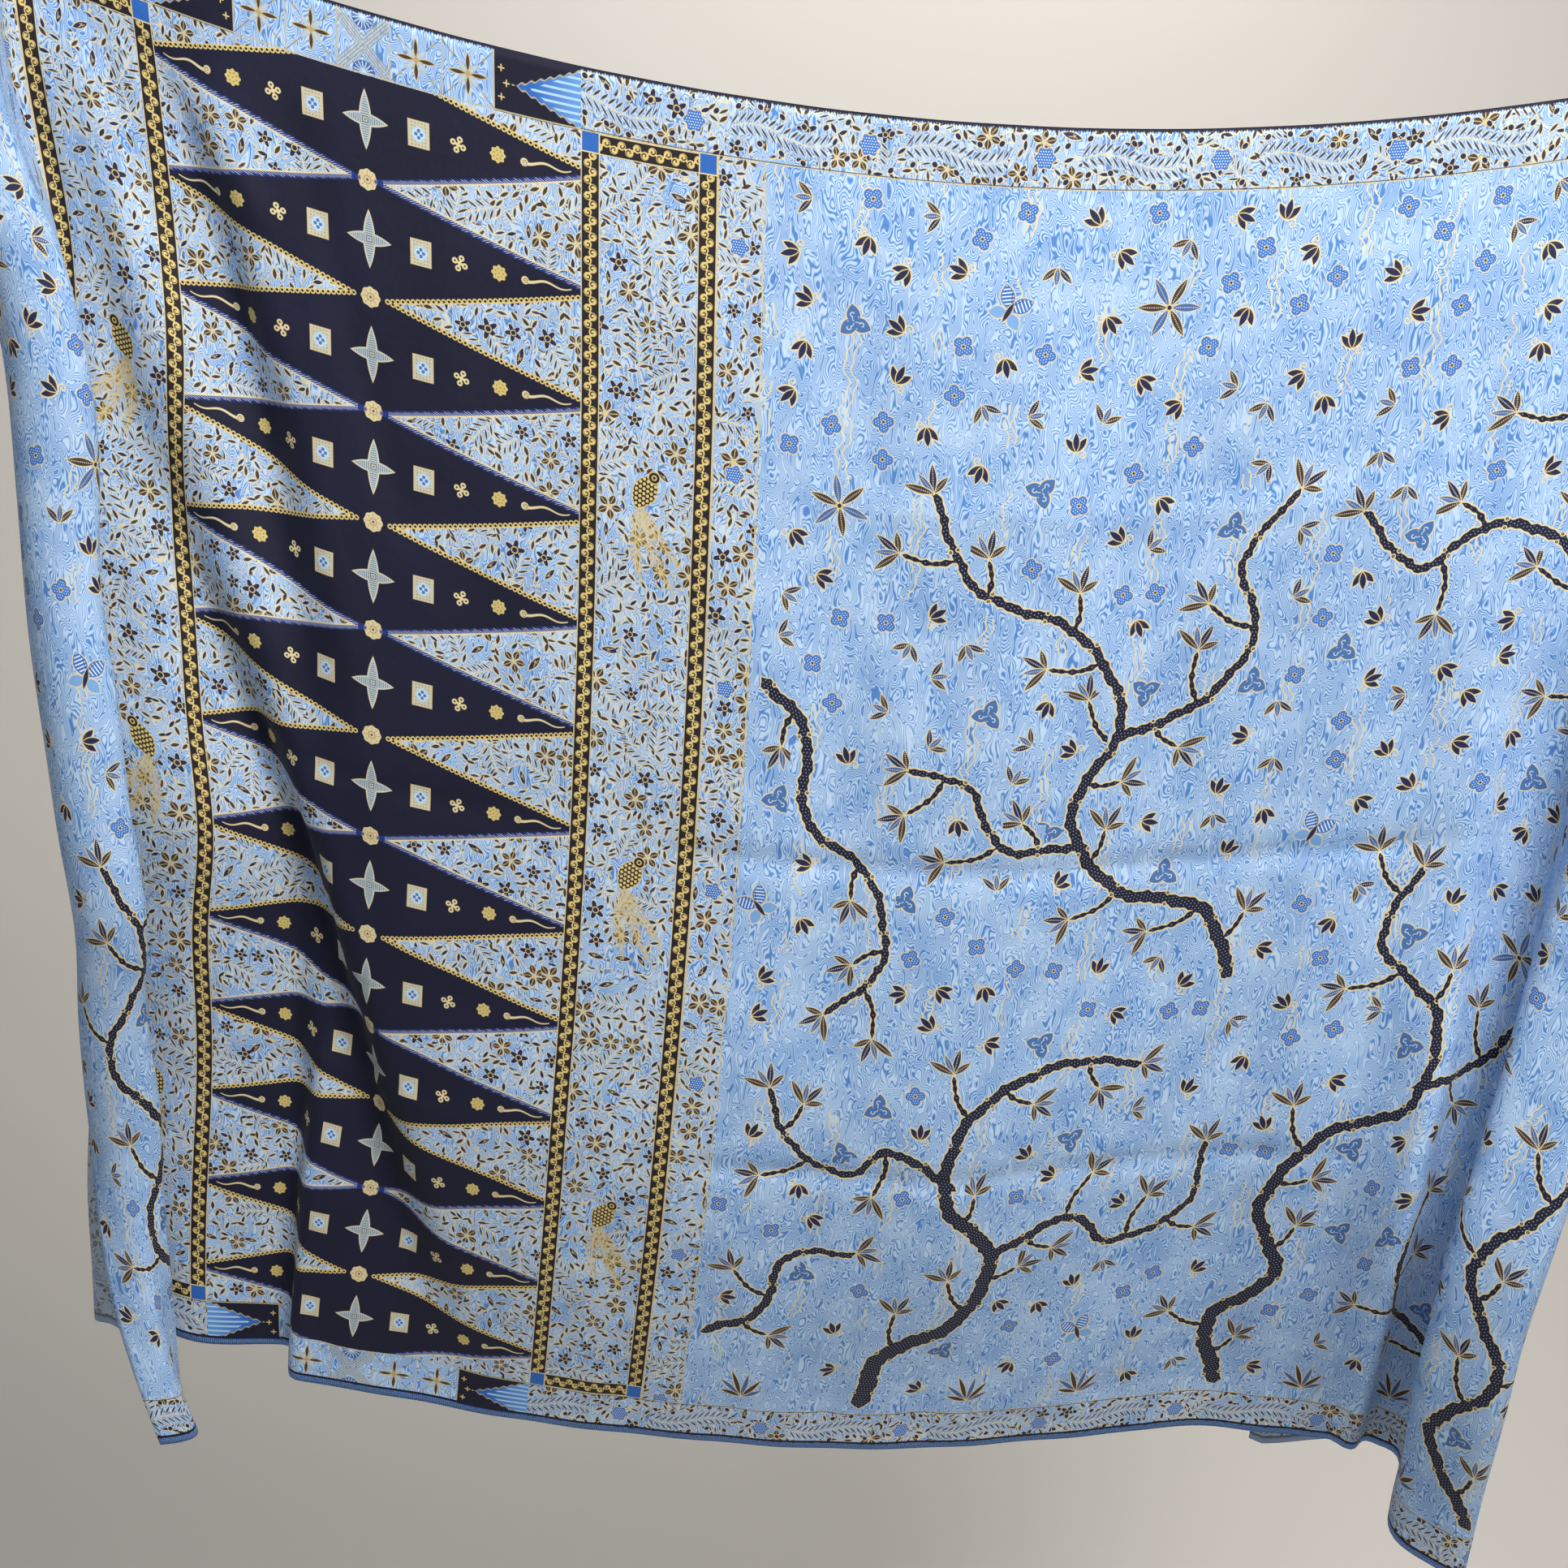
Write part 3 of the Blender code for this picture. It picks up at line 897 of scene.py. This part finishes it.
def grass_tuft(place, motif, second, ground):
    """Dark and pale blades that rise from the lower border."""
    x, y, _ = motif
    colour = ground
    for lean, long, fill in ((-68, 19, STEEL), (-44, 24, BUD_BROWN), (-16, 25, STEEL), (14, 27, BUD_BROWN),
                             (42, 24, STEEL), (70, 17, BUD_BROWN)):
        px, py = turned(x, y + 12, lean)
        colour = outlined(colour, leaf(py, px + py * py * 0.004, long, 3.6), fill, CREAM, 0.6)
    return colour


def knotty_stem(place, motif, second, ground):
    """Dark stems with white dots and knots, and the foot of the leaves at their tips. Motif and Second are places
    on the nearest two stems: x across each, y along it from its tip, and z its half width."""
    shapes = []
    for x, y, half in (motif, second):
        centre = x + (y.wave(41) * 0.9 + y.wave(17) * 0.5) * half.above(2.4)
        shapes.append((centre, abs(centre) - (half + y.wave(7.3) * 0.4 + y.wave(11.9) * 0.35)))
    both = shapes[0][1].least(shapes[1][1])
    colour = outlined(ground, both, STEM, CREAM, 1.15)
    x, y, half = motif
    centre = shapes[0][0]
    colour = white_dots(colour, centre, y, both + 1.2, 2.5, 0.4)
    knot = hypot(abs(centre) - half, y.cell(43)) - 1.9
    colour = paint(colour, CREAM, inside(knot) * half.above(2.4))
    colour = paint(colour, STEM, inside(abs(knot + 1.2) - 0.4, 0.2) * half.above(2.4))
    return leaves(colour, x, y + 0.5, SPRAY)


def wrong_side(place, motif, second, ground):
    """The print as it shows through on the back: duller and greyer."""
    tree = ground.tree
    dull = tree.nodes.new("ShaderNodeHueSaturation")
    dull.inputs["Saturation"].default_value = BACK_SATURATION
    dull.inputs["Value"].default_value = BACK_VALUE
    tree.links.new(ground.socket, dull.inputs["Color"])
    return paint(Field(tree, dull.outputs[0]), BACK_VEIL, BACK_SHARE)


def weave_height(place, motif, second):
    """Fine threads and the small unevenness of the cloth, as a height."""
    u, v, _ = place
    return (u.wave(0.62) + v.wave(0.62)) * 0.25 + noise(u, v, 8) * 4.0


WAVY_GROUND = group("wavy_ground", (), wavy_ground)
HANGING_THREADS = group("hanging_threads", ("Ground",), hanging_threads)
FLOWER_FIELD = group("flower_field", ("Ground",), flower_field)
RUNNING_CHAIN = group("running_chain", (), running_chain)
HEAD_NAVY = group("head_navy", ("Ground",), head_navy)
WRONG_SIDE = group("wrong_side", ("Ground",), wrong_side)
WEAVE = group("weave", (), weave_height)

# Each kind of face on the cloth and what is drawn on it
PRINTS = (
    # name, drawing, on the body
    ("head_panel", head_panel, False),
    ("head_navy", head_navy, False),
    ("field", flower_field, False),
    ("side_bands", side_bands, False),
    ("head_border", head_border, False),
    ("flower_border", flower_border, False),
    ("body", None, True),
    ("stem", knotty_stem, True),
    ("spray", leaf_spray, True),
    ("star_flower", star_flower, True),
    ("cloud_flower", cloud_flower, True),
    ("butterfly", butterfly, True),
    ("grass", grass_tuft, True),
    ("bud", bud, True),
    ("blossom", dotted_blossom, True),
    ("leaf_pair", leaf_pair, True),
)
KIND = {row[0]: k for k, row in enumerate(PRINTS)}


def cloth_material(name, drawing, on_body, back):
    """One print's material for the printed front or for the wrong side."""
    material = bpy.data.materials.new(("wrong_side_" if back else "printed_") + name)
    material.use_nodes = True
    tree = material.node_tree
    shader = tree.nodes["Principled BSDF"]
    flat = tree.nodes.new("ShaderNodeUVMap")
    flat.uv_map = "flat"
    locals_ = []
    for attribute in ("motif", "second"):
        node = tree.nodes.new("ShaderNodeAttribute")
        node.attribute_name = attribute
        locals_.append(node.outputs["Vector"])
    millimetres = []
    for output in (flat.outputs["UV"], *locals_):
        scale = tree.nodes.new("ShaderNodeVectorMath")
        scale.operation = "SCALE"
        scale.inputs["Scale"].default_value = 1000.0
        tree.links.new(output, scale.inputs[0])
        millimetres.append(scale.outputs[0])

    def placed(pattern, colour=None):
        node = tree.nodes.new("ShaderNodeGroup")
        node.node_tree = pattern
        for name, place in zip(LOCAL, millimetres):
            tree.links.new(place, node.inputs[name])
        if colour:
            tree.links.new(colour, node.inputs["Ground"])
        return node.outputs["Colour"]

    colour = placed(WAVY_GROUND)
    if on_body:
        colour = placed(HANGING_THREADS, colour)
    if drawing:
        colour = placed(DRAWINGS[name], colour)
    if back:
        colour = placed(WRONG_SIDE, colour)
    tree.links.new(colour, shader.inputs["Base Color"])
    bump = tree.nodes.new("ShaderNodeBump")
    bump.inputs["Strength"].default_value = 0.35
    bump.inputs["Distance"].default_value = 0.0002
    tree.links.new(placed(WEAVE), bump.inputs["Height"])
    tree.links.new(bump.outputs[0], shader.inputs["Normal"])
    shader.inputs["Roughness"].default_value = 0.72
    shader.inputs["Sheen Weight"].default_value = 0.05
    shader.inputs["Sheen Roughness"].default_value = 0.4
    shader.inputs["Specular IOR Level"].default_value = 0.28
    return material


DRAWINGS = {name: group(name, ("Ground",), drawing) for name, drawing, on_body in PRINTS if drawing}

# Stems on the body of the cloth: half width at the root and at the tip, and places along and down it
STEMS = (
    # name, at root, at tip, places
    ("low_stem", 0.0080, 0.0028, ((0.42, 0.998), (0.43, 0.945), (0.485, 0.905), (0.50, 0.84), (0.455, 0.785),
                                  (0.465, 0.715), (0.53, 0.675), (0.60, 0.68))),
    ("low_fork", 0.0040, 0.0024, ((0.50, 0.842), (0.56, 0.81), (0.60, 0.84), (0.655, 0.81), (0.66, 0.75))),
    ("low_left_fork", 0.0038, 0.0022, ((0.46, 0.775), (0.41, 0.745), (0.375, 0.77), (0.33, 0.745), (0.31, 0.70))),
    ("high_stem", 0.0050, 0.0026, ((0.655, 0.61), (0.625, 0.555), (0.555, 0.535), (0.515, 0.475), (0.545, 0.405),
                                   (0.505, 0.34), (0.43, 0.31), (0.395, 0.245))),
    ("high_fork", 0.0036, 0.0022, ((0.54, 0.42), (0.60, 0.395), (0.635, 0.345), (0.62, 0.29), (0.655, 0.24))),
    ("high_left_fork", 0.0034, 0.0022, ((0.525, 0.50), (0.465, 0.50), (0.435, 0.455), (0.39, 0.445))),
    ("right_stem", 0.0064, 0.0026, ((0.72, 0.998), (0.70, 0.93), (0.74, 0.875), (0.715, 0.81), (0.75, 0.745),
                                    (0.81, 0.715), (0.815, 0.645), (0.765, 0.59), (0.785, 0.53))),
    ("right_fork", 0.0036, 0.0022, ((0.81, 0.70), (0.865, 0.69), (0.90, 0.64), (0.95, 0.63))),
    ("top_stem", 0.0046, 0.0024, ((0.95, 0.42), (0.88, 0.38), (0.86, 0.31), (0.795, 0.28), (0.745, 0.305),
                                  (0.70, 0.26))),
    ("top_fork", 0.0034, 0.0022, ((0.86, 0.315), (0.885, 0.25), (0.84, 0.21), (0.85, 0.16))),
    ("left_stem", 0.0042, 0.0022, ((0.283, 0.39), (0.315, 0.425), (0.32, 0.49), (0.37, 0.53), (0.385, 0.595),
                                   (0.345, 0.64))),
    ("left_low_stem", 0.0044, 0.0024, ((0.283, 0.93), (0.325, 0.905), (0.34, 0.85), (0.395, 0.84))),
    ("right_low_stem", 0.0044, 0.0024, ((0.93, 0.998), (0.90, 0.93), (0.855, 0.90), (0.84, 0.84), (0.86, 0.79))),
    ("pipe_stem", 0.0050, 0.0026, ((1.04, 0.998), (0.995, 0.92), (1.03, 0.85), (0.99, 0.77), (1.03, 0.69),
                                   (1.01, 0.60), (1.05, 0.53))),
    ("far_stem", 0.0050, 0.0026, ((1.20, 0.85), (1.25, 0.75), (1.20, 0.65), (1.26, 0.55), (1.34, 0.50),
                                  (1.36, 0.40), (1.43, 0.33))),
    ("end_stem", 0.0048, 0.0026, ((1.46, 0.998), (1.43, 0.92), (1.48, 0.84), (1.44, 0.76), (1.50, 0.68))),
    ("left_end_stem", 0.0042, 0.0024, ((-0.31, 0.95), (-0.36, 0.88), (-0.335, 0.80), (-0.375, 0.73),
                                       (-0.34, 0.65), (-0.37, 0.57))),
)
# Larger figures on the body, listed one by one: kind, place along, place down, turn in degrees
FIGURES = (
    # kind, along, down, turn
    ("cloud_flower", 0.335, 0.135, 20), ("cloud_flower", 0.47, 0.24, 75), ("cloud_flower", 0.60, 0.29, 10),
    ("cloud_flower", 0.445, 0.40, 50), ("cloud_flower", 0.60, 0.46, 100), ("cloud_flower", 0.70, 0.36, 35),
    ("cloud_flower", 0.84, 0.14, 60), ("cloud_flower", 0.86, 0.47, 15), ("cloud_flower", 0.55, 0.74, 80),
    ("cloud_flower", 0.395, 0.71, 30), ("cloud_flower", 0.62, 0.84, 5), ("cloud_flower", 0.78, 0.83, 65),
    ("cloud_flower", 0.90, 0.72, 40), ("cloud_flower", 0.31, 0.85, 95), ("cloud_flower", 0.95, 0.22, 25),
    ("cloud_flower", 1.10, 0.30, 70), ("cloud_flower", 1.30, 0.66, 10), ("cloud_flower", 1.10, 0.60, 45),
    ("star_flower", 0.55, 0.115, 0), ("star_flower", 0.33, 0.26, 20), ("star_flower", 0.65, 0.73, 12),
    ("star_flower", 0.88, 0.60, 40), ("star_flower", 0.41, 0.82, 5), ("star_flower", 1.05, 0.16, 15),
    ("star_flower", 1.18, 0.45, 35), ("star_flower", 1.40, 0.60, 0), ("star_flower", -0.34, 0.30, 10),
    ("butterfly", 0.44, 0.12, 30), ("butterfly", 0.29, 0.56, -40), ("butterfly", 0.70, 0.50, 25),
    ("butterfly", 0.59, 0.93, -20), ("butterfly", 0.93, 0.87, 40), ("butterfly", 0.95, 0.45, -30),
    ("butterfly", 1.30, 0.20, 15), ("butterfly", -0.36, 0.44, 20),
)
REACH = {"spray": 0.0175, "star_flower": 0.0225, "cloud_flower": 0.0140, "butterfly": 0.0165, "grass": 0.020,
         "bud": 0.0108, "blossom": 0.0094, "leaf_pair": 0.0105}


# A place that no figure reaches, the room a cloud beside a stem needs, how far beside a stem its faces still draw
# it, and half a cell's diagonal
NOWHERE = (9.0, 9.0, 0.0)
CLOUD_ROOM = 0.014
STEM_MARGIN = 0.0024
HALF_CELL = 0.0047


def smooth_run(points, step=0.002):
    """Points close together on the smooth curve through the given ones."""
    p = np.array(points, float)
    p = np.vstack([2 * p[0] - p[1], p, 2 * p[-1] - p[-2]])
    run = []
    for a, b, c, d in zip(p, p[1:], p[2:], p[3:]):
        for t in np.linspace(0, 1, max(2, int(np.hypot(*(c - b)) / step)), endpoint=False):
            run.append(0.5 * (2 * b + (c - a) * t + (2 * a - 5 * b + 4 * c - d) * t ** 2
                              + (3 * b - a - 3 * c + d) * t ** 3))
    run.append(p[-2])
    return np.array(run)


def shoots(run, half):
    """Side shoots to the left and right of a stem by turns, and the places of clouds between them."""
    twigs, clouds = [], []
    side, place, count = 1, 0.030, 0
    lengths = np.concatenate([[0], np.cumsum(np.hypot(*np.diff(run, axis=0).T))])
    while place < lengths[-1] - 0.022:
        k = int(np.searchsorted(lengths, place))
        ahead = run[min(k + 4, len(run) - 1)] - run[max(k - 4, 0)]
        ahead /= np.hypot(*ahead)
        out = np.array([-ahead[1], ahead[0]]) * side
        if count % 3 == 2:
            clouds.append((run[k] + out * (half + 0.0145), math.degrees(math.atan2(out[0], -out[1])) + 25 * side))
        else:
            long = 0.024 + 0.012 * (count % 2)
            middle = run[k] + out * long * 0.5 + ahead * long * 0.16
            twigs.append((run[k], middle, run[k] + out * long + ahead * long * 0.6))
        side = -side
        place += 0.034
        count += 1
    return twigs, clouds


def free(spot, reach, taken, gap=0.0075):
    return all((spot[0] - u) ** 2 + (spot[1] - v) ** 2 > (reach + r + gap) ** 2 for u, v, r in taken)


def lay_out():
    """Every stem and figure on the body: the stems' runs, and the figures as kind, place and turn."""
    stems = []
    figures = []
    taken = []
    for name, root, tip, points in STEMS:
        run = smooth_run(points)
        stems.append((run, root, tip))
        taken += [(u, v, root) for u, v in run[::3]]
    sprays = []
    for run, root, tip in list(stems):
        tips = [run]
        twigs, clouds = shoots(run, root)
        for shoot in twigs:
            twig = smooth_run(shoot)
            clear = free(twig[-1] * 1.45 - twig[0] * 0.45, 0.011, sprays, 0.0)
            others = [spot for spot in taken if np.hypot(spot[0] - twig[0][0], spot[1] - twig[0][1]) > 0.035]
            if in_body(twig[-1], 0.022) and clear and free(twig[-1], 0.012, others, 0.003):
                tips.append(twig)
                stems.append((twig, 0.0020, 0.0012))
        for way in tips:
            ahead = way[-1] - way[-2]
            ahead /= np.hypot(*ahead)
            centre = way[-1] + ahead * (SPRAY_FOOT - 0.5) / 1000
            figures.append(("spray", centre[0], centre[1], math.degrees(math.atan2(ahead[0], -ahead[1]))))
            sprays.append((centre[0], centre[1], REACH["spray"] * 0.8))
        for spot, turn in clouds:
            if in_body(spot, CLOUD_ROOM) and free(spot, CLOUD_ROOM - 0.0015, sprays, 0.0):
                figures.append(("cloud_flower", spot[0], spot[1], turn))
                sprays.append((spot[0], spot[1], REACH["cloud_flower"]))
    for run, root, tip in stems[len(STEMS):]:
        taken += [(u, v, root) for u, v in run[::3]]
    taken += sprays
    for kind, u, v, turn in FIGURES:
        if free((u, v), REACH[kind] * 0.9, taken, 0.004):
            figures.append((kind, u, v, turn))
            taken.append((u, v, REACH[kind]))
    for u in np.arange(0.32, RIGHT_END - 0.03, 0.094):
        if free((u, 0.983), 0.014, taken, 0.003):
            figures.append(("grass", u, 0.985, 0.0))
            taken.append((u, 0.985, REACH["grass"]))
    chance = random.Random(11)
    spots = [(u, v) for v in np.arange(0.055, 1.0, STREWN) for u in np.arange(LEFT_END + 0.012, RIGHT_END, STREWN)]
    for u, v in spots:
        spot = (u + chance.uniform(-0.007, 0.007), v + chance.uniform(-0.007, 0.007))
        kind = chance.choices(("bud", "blossom", "leaf_pair"), (0.56, 0.27, 0.17))[0]
        turn = chance.uniform(0, 360)
        if chance.random() < 0.90 and in_body(spot, REACH[kind]) and free(spot, REACH[kind], taken, 0.0045):
            figures.append((kind, spot[0], spot[1], turn))
            taken.append((spot[0], spot[1], REACH[kind]))
    return stems, figures


def in_body(spot, margin):
    """True for a place on the body of the cloth, this far inside its borders."""
    u, v = spot
    along = STRIP_END + margin < u < RIGHT_END - margin or LEFT_END + margin < u < -STRIP_END - margin
    return along and BORDER + margin < v < HEIGHT - BORDER - margin


def zone(u, v):
    """The print's zone at a place. Plain navy and plain field lie well inside the triangles' edges."""
    at_edge = v < BORDER or v > HEIGHT - BORDER
    side = abs(u)
    if side < PANEL_HALF:
        if at_edge:
            return "head_border"
        rose_v = abs((v * 1000 - ROSE_ROW + ROW / 2) % ROW - ROW / 2)
        edge = rose_v * math.cos(SLOPE) - (side * 1000 - APEX) * math.sin(SLOPE)
        if edge > 9.0:
            return "head_navy"
        return "field" if edge < -6.5 else "head_panel"
    if at_edge:
        return "flower_border"
    return "side_bands" if side < STRIP_END else "body"


def stem_places(run, root, tip, u, v):
    """The grid's points beside a stem: across it, along it from its tip, its half width and how far off."""
    lengths = np.concatenate([[0], np.cumsum(np.hypot(*np.diff(run, axis=0).T))])
    heads = np.gradient(run, axis=0)
    heads[-1] = run[-1] - run[-2]
    heads /= np.hypot(heads[:, 0], heads[:, 1])[:, None]
    off = (u[..., None] - run[:, 0]) ** 2 + (v[..., None] - run[:, 1]) ** 2
    k = off.argmin(axis=-1)
    du, dv = u - run[k, 0], v - run[k, 1]
    along = lengths[k] + du * heads[k, 0] + dv * heads[k, 1] - lengths[-1]
    across = dv * heads[k, 0] - du * heads[k, 1]
    beyond = np.clip(-along - lengths[-1], 0, None) + np.clip(along, 0, None)
    half = tip + (root - tip) * np.clip(-along / lengths[-1], 0, 1)
    return np.stack([across, along, half - beyond * 1.2], axis=-1), np.sqrt(off.min(axis=-1)) - half


def cell_corners(values):
    """The values at the four corners of each cell of a grid of points."""
    rows, cols = values.shape[0] - 1, values.shape[1] - 1
    return np.stack([values[a:rows + a, b:cols + b] for a, b in ((0, 0), (1, 0), (1, 1), (0, 1))], axis=2)


def face_prints(places, downs):
    """For each cell of the grid, its kind of print and its corners' places in the figure drawn there and on the
    next stem."""
    stems, figures = lay_out()
    u, v = np.meshgrid(places, downs)
    mid_u = (u[1:, 1:] + u[:-1, :-1]) / 2
    mid_v = (v[1:, 1:] + v[:-1, :-1]) / 2
    kinds = np.array([[KIND[zone(a, b)] for a, b in zip(*row)] for row in zip(mid_u, mid_v)])
    on_body = kinds == KIND["body"]
    corners = np.tile(NOWHERE, (*mid_u.shape, 4, 1))
    second = corners.copy()
    off = np.full(mid_u.shape, 1.0)
    second_off = off.copy()
    for run, root, tip in stems:
        low, high = run.min(axis=0) - 0.025, run.max(axis=0) + 0.025
        top, bottom = np.searchsorted(downs, (low[1], high[1]))
        left, right = np.searchsorted(places, (low[0], high[0]))
        values, reach = stem_places(run, root, tip, u[top:bottom, left:right], v[top:bottom, left:right])
        area = (slice(top, bottom - 1), slice(left, right - 1))
        values = cell_corners(values)
        reach = cell_corners(reach).min(axis=2)
        first = reach < off[area]
        next_one = ~first & (reach < second_off[area])
        second[area][first] = corners[area][first]
        second_off[area][first] = off[area][first]
        corners[area][first] = values[first]
        off[area][first] = reach[first]
        second[area][next_one] = values[next_one]
        second_off[area][next_one] = reach[next_one]
    on_stem = on_body & (off < STEM_MARGIN)
    kinds[on_stem] = KIND["stem"]
    corners[~on_stem] = NOWHERE
    nearest = np.full(mid_u.shape, 1.0)
    for kind, centre_u, centre_v, turn in figures:
        distance = np.hypot(mid_u - centre_u, mid_v - centre_v)
        mask = on_body & ~on_stem & (distance < REACH[kind] + HALF_CELL) & (distance < nearest)
        c, s = math.cos(math.radians(turn)), math.sin(math.radians(turn))
        x, y = u - centre_u, centre_v - v
        values = cell_corners(np.stack([x * c - y * s, x * s + y * c, np.zeros_like(x)], axis=-1))
        nearest[mask] = distance[mask]
        kinds[mask] = KIND[kind]
        corners[mask] = values[mask]
    return kinds, corners, second


def corner_hang(points, places, downs):
    """Lets the free corner at the left hang: the fold drops at once, and its end leans in to a point."""
    u, level = np.meshgrid(places, downs / HEIGHT)
    droop = LEFT_DROOP * np.clip(HELD_LEFT - 0.06 - u, 0, None)
    points[..., 2] += droop - CORNER_DROP * ease((-0.262 - u) / 0.075)
    points[..., 0] += CORNER_LEAN * ease((level - 0.72) / 0.28) * ease((-0.345 - u) / 0.055)
    return points


def make_cloth():
    """The whole length of cloth as one thin sheet with its folds, creases and print."""
    places = columns(LEFT_END, COLUMNS)
    downs = columns(0.0, ROWS)
    points = corner_hang(read_off(hang(), places, downs / HEIGHT), places, downs)
    u, v = np.meshgrid(places, downs)
    along = np.gradient(points, axis=1)
    down = np.gradient(points, axis=0)
    normals = np.cross(down, along)
    normals /= np.linalg.norm(normals, axis=-1, keepdims=True)
    points = points + normals * crease_heights(u, v)[..., None]
    kinds, corners, second = face_prints(places, downs)
    bm = bmesh.new()
    rows, cols = len(downs) - 1, len(places) - 1
    bmesh.ops.create_grid(bm, x_segments=cols, y_segments=rows, size=0.5)
    for vert in bm.verts:
        column = round((vert.co.x + 0.5) * cols)
        row = round((0.5 - vert.co.y) * rows)
        vert.index = row * (cols + 1) + column
        vert.co = points[row, column]
    flat = bm.loops.layers.uv.new("flat")
    local = bm.loops.layers.float_vector.new("motif")
    local_2 = bm.loops.layers.float_vector.new("second")
    for face in bm.faces:
        cells = [divmod(vert.index, cols + 1) for vert in face.verts]
        row = min(cell[0] for cell in cells)
        column = min(cell[1] for cell in cells)
        face.material_index = int(kinds[row, column])
        face.smooth = True
        for loop, cell in zip(face.loops, cells):
            loop[flat].uv = (places[cell[1]], downs[cell[0]])
            corner = {(0, 0): 0, (1, 0): 1, (1, 1): 2, (0, 1): 3}[cell[0] - row, cell[1] - column]
            loop[local] = corners[row, column, corner]
            loop[local_2] = second[row, column, corner]
    mesh = bpy.data.meshes.new("sarong_cloth")
    bm.to_mesh(mesh)
    bm.free()
    cloth = bpy.data.objects.new("sarong_cloth", mesh)
    bpy.context.scene.collection.objects.link(cloth)
    for back in (False, True):
        for name, drawing, on_body in PRINTS:
            mesh.materials.append(cloth_material(name, drawing, on_body, back))
    wall = cloth.modifiers.new("thickness", "SOLIDIFY")
    wall.thickness = CLOTH
    wall.offset = 0.0
    wall.material_offset = len(PRINTS)
    wall.material_offset_rim = 0
    return cloth


def plain_material(name, colour, roughness):
    material = bpy.data.materials.new(name)
    material.use_nodes = True
    shader = material.node_tree.nodes["Principled BSDF"]
    shader.inputs["Base Color"].default_value = colour
    shader.inputs["Roughness"].default_value = roughness
    return material


def make_studio():
    """A pale floor that sweeps up behind the cloth, and soft lights."""
    profile = [(FLOOR_FRONT, FLOOR_Z), (WALL_Y - SWEEP, FLOOR_Z)]
    for k in range(1, 13):
        a = math.radians(7.5 * k)
        profile.append((WALL_Y - SWEEP + SWEEP * math.sin(a), FLOOR_Z + SWEEP * (1 - math.cos(a))))
    profile.append((WALL_Y, WALL_TOP))
    bm = bmesh.new()
    line = [bm.verts.new((FLOOR_LEFT, y, z)) for y, z in profile]
    edges = [bm.edges.new(pair) for pair in zip(line, line[1:])]
    bmesh.ops.extrude_edge_only(bm, edges=edges)
    moved = [vert for vert in bm.verts if vert not in line]
    bmesh.ops.translate(bm, verts=moved, vec=(FLOOR_LONG, 0, 0))
    mesh = bpy.data.meshes.new("studio_floor")
    bmesh.ops.recalc_face_normals(bm, faces=bm.faces)
    for face in bm.faces:
        face.smooth = True
    bm.to_mesh(mesh)
    bm.free()
    floor = bpy.data.objects.new("studio_floor", mesh)
    bpy.context.scene.collection.objects.link(floor)
    mesh.materials.append(plain_material("studio_grey", tint(224, 219, 211), 0.9))
    for name, place, target, size, power, colour in (
        ("key_light", (1.30, -1.38, 1.32), (0.64, 0.0, -0.15), 0.9, 86, (1.0, 0.98, 0.95)),
        ("fill_light", (-1.2, -1.9, 1.0), (0.3, 0.0, -0.3), 1.4, 8, (0.95, 0.97, 1.0)),
        ("back_light", (0.7, 1.75, 0.9), (0.5, 0.0, -0.4), 1.5, 40, (1.0, 1.0, 1.0)),
    ):
        light = bpy.data.lights.new(name, "AREA")
        light.size = size
        light.energy = power
        light.color = colour
        lamp = bpy.data.objects.new(name, light)
        lamp.location = place
        way = [t - p for t, p in zip(target, place)]
        flat_run = math.hypot(way[0], way[1])
        lamp.rotation_euler = (math.atan2(flat_run, -way[2]), 0, math.atan2(-way[0], way[1]))
        bpy.context.scene.collection.objects.link(lamp)
    world = bpy.data.worlds.new("studio")
    world.use_nodes = True
    tree = world.node_tree
    soft = tree.nodes["Background"]
    seen = tree.nodes.new("ShaderNodeBackground")
    for node, colour, strength in ((soft, (0.92, 0.95, 1.0, 1.0), 0.21), (seen, (1.0, 0.98, 0.95, 1.0), 0.62)):
        node.inputs["Color"].default_value = colour
        node.inputs["Strength"].default_value = strength
    by_ray = tree.nodes.new("ShaderNodeLightPath")
    either = tree.nodes.new("ShaderNodeMixShader")
    tree.links.new(by_ray.outputs["Is Camera Ray"], either.inputs[0])
    tree.links.new(soft.outputs[0], either.inputs[1])
    tree.links.new(seen.outputs[0], either.inputs[2])
    tree.links.new(either.outputs[0], tree.nodes["World Output"].inputs["Surface"])
    bpy.context.scene.world = world


def make_camera():
    """The camera stands 1.2 m in front of the cloth and looks a little down."""
    lens = bpy.data.cameras.new("camera")
    lens.sensor_width = 36.0
    lens.lens = 39.28
    camera = bpy.data.objects.new("camera", lens)
    camera.location = (0.487, -1.211, -0.300)
    camera.rotation_euler = (math.radians(90 - 13.61), 0, 0)
    bpy.context.scene.collection.objects.link(camera)
    bpy.context.scene.camera = camera


bpy.context.scene.view_settings.view_transform = "Standard"
make_camera()
make_studio()
cloth = make_cloth()
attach(cloth, "root")
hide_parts("left_fold", "front_panel", "right_fold")
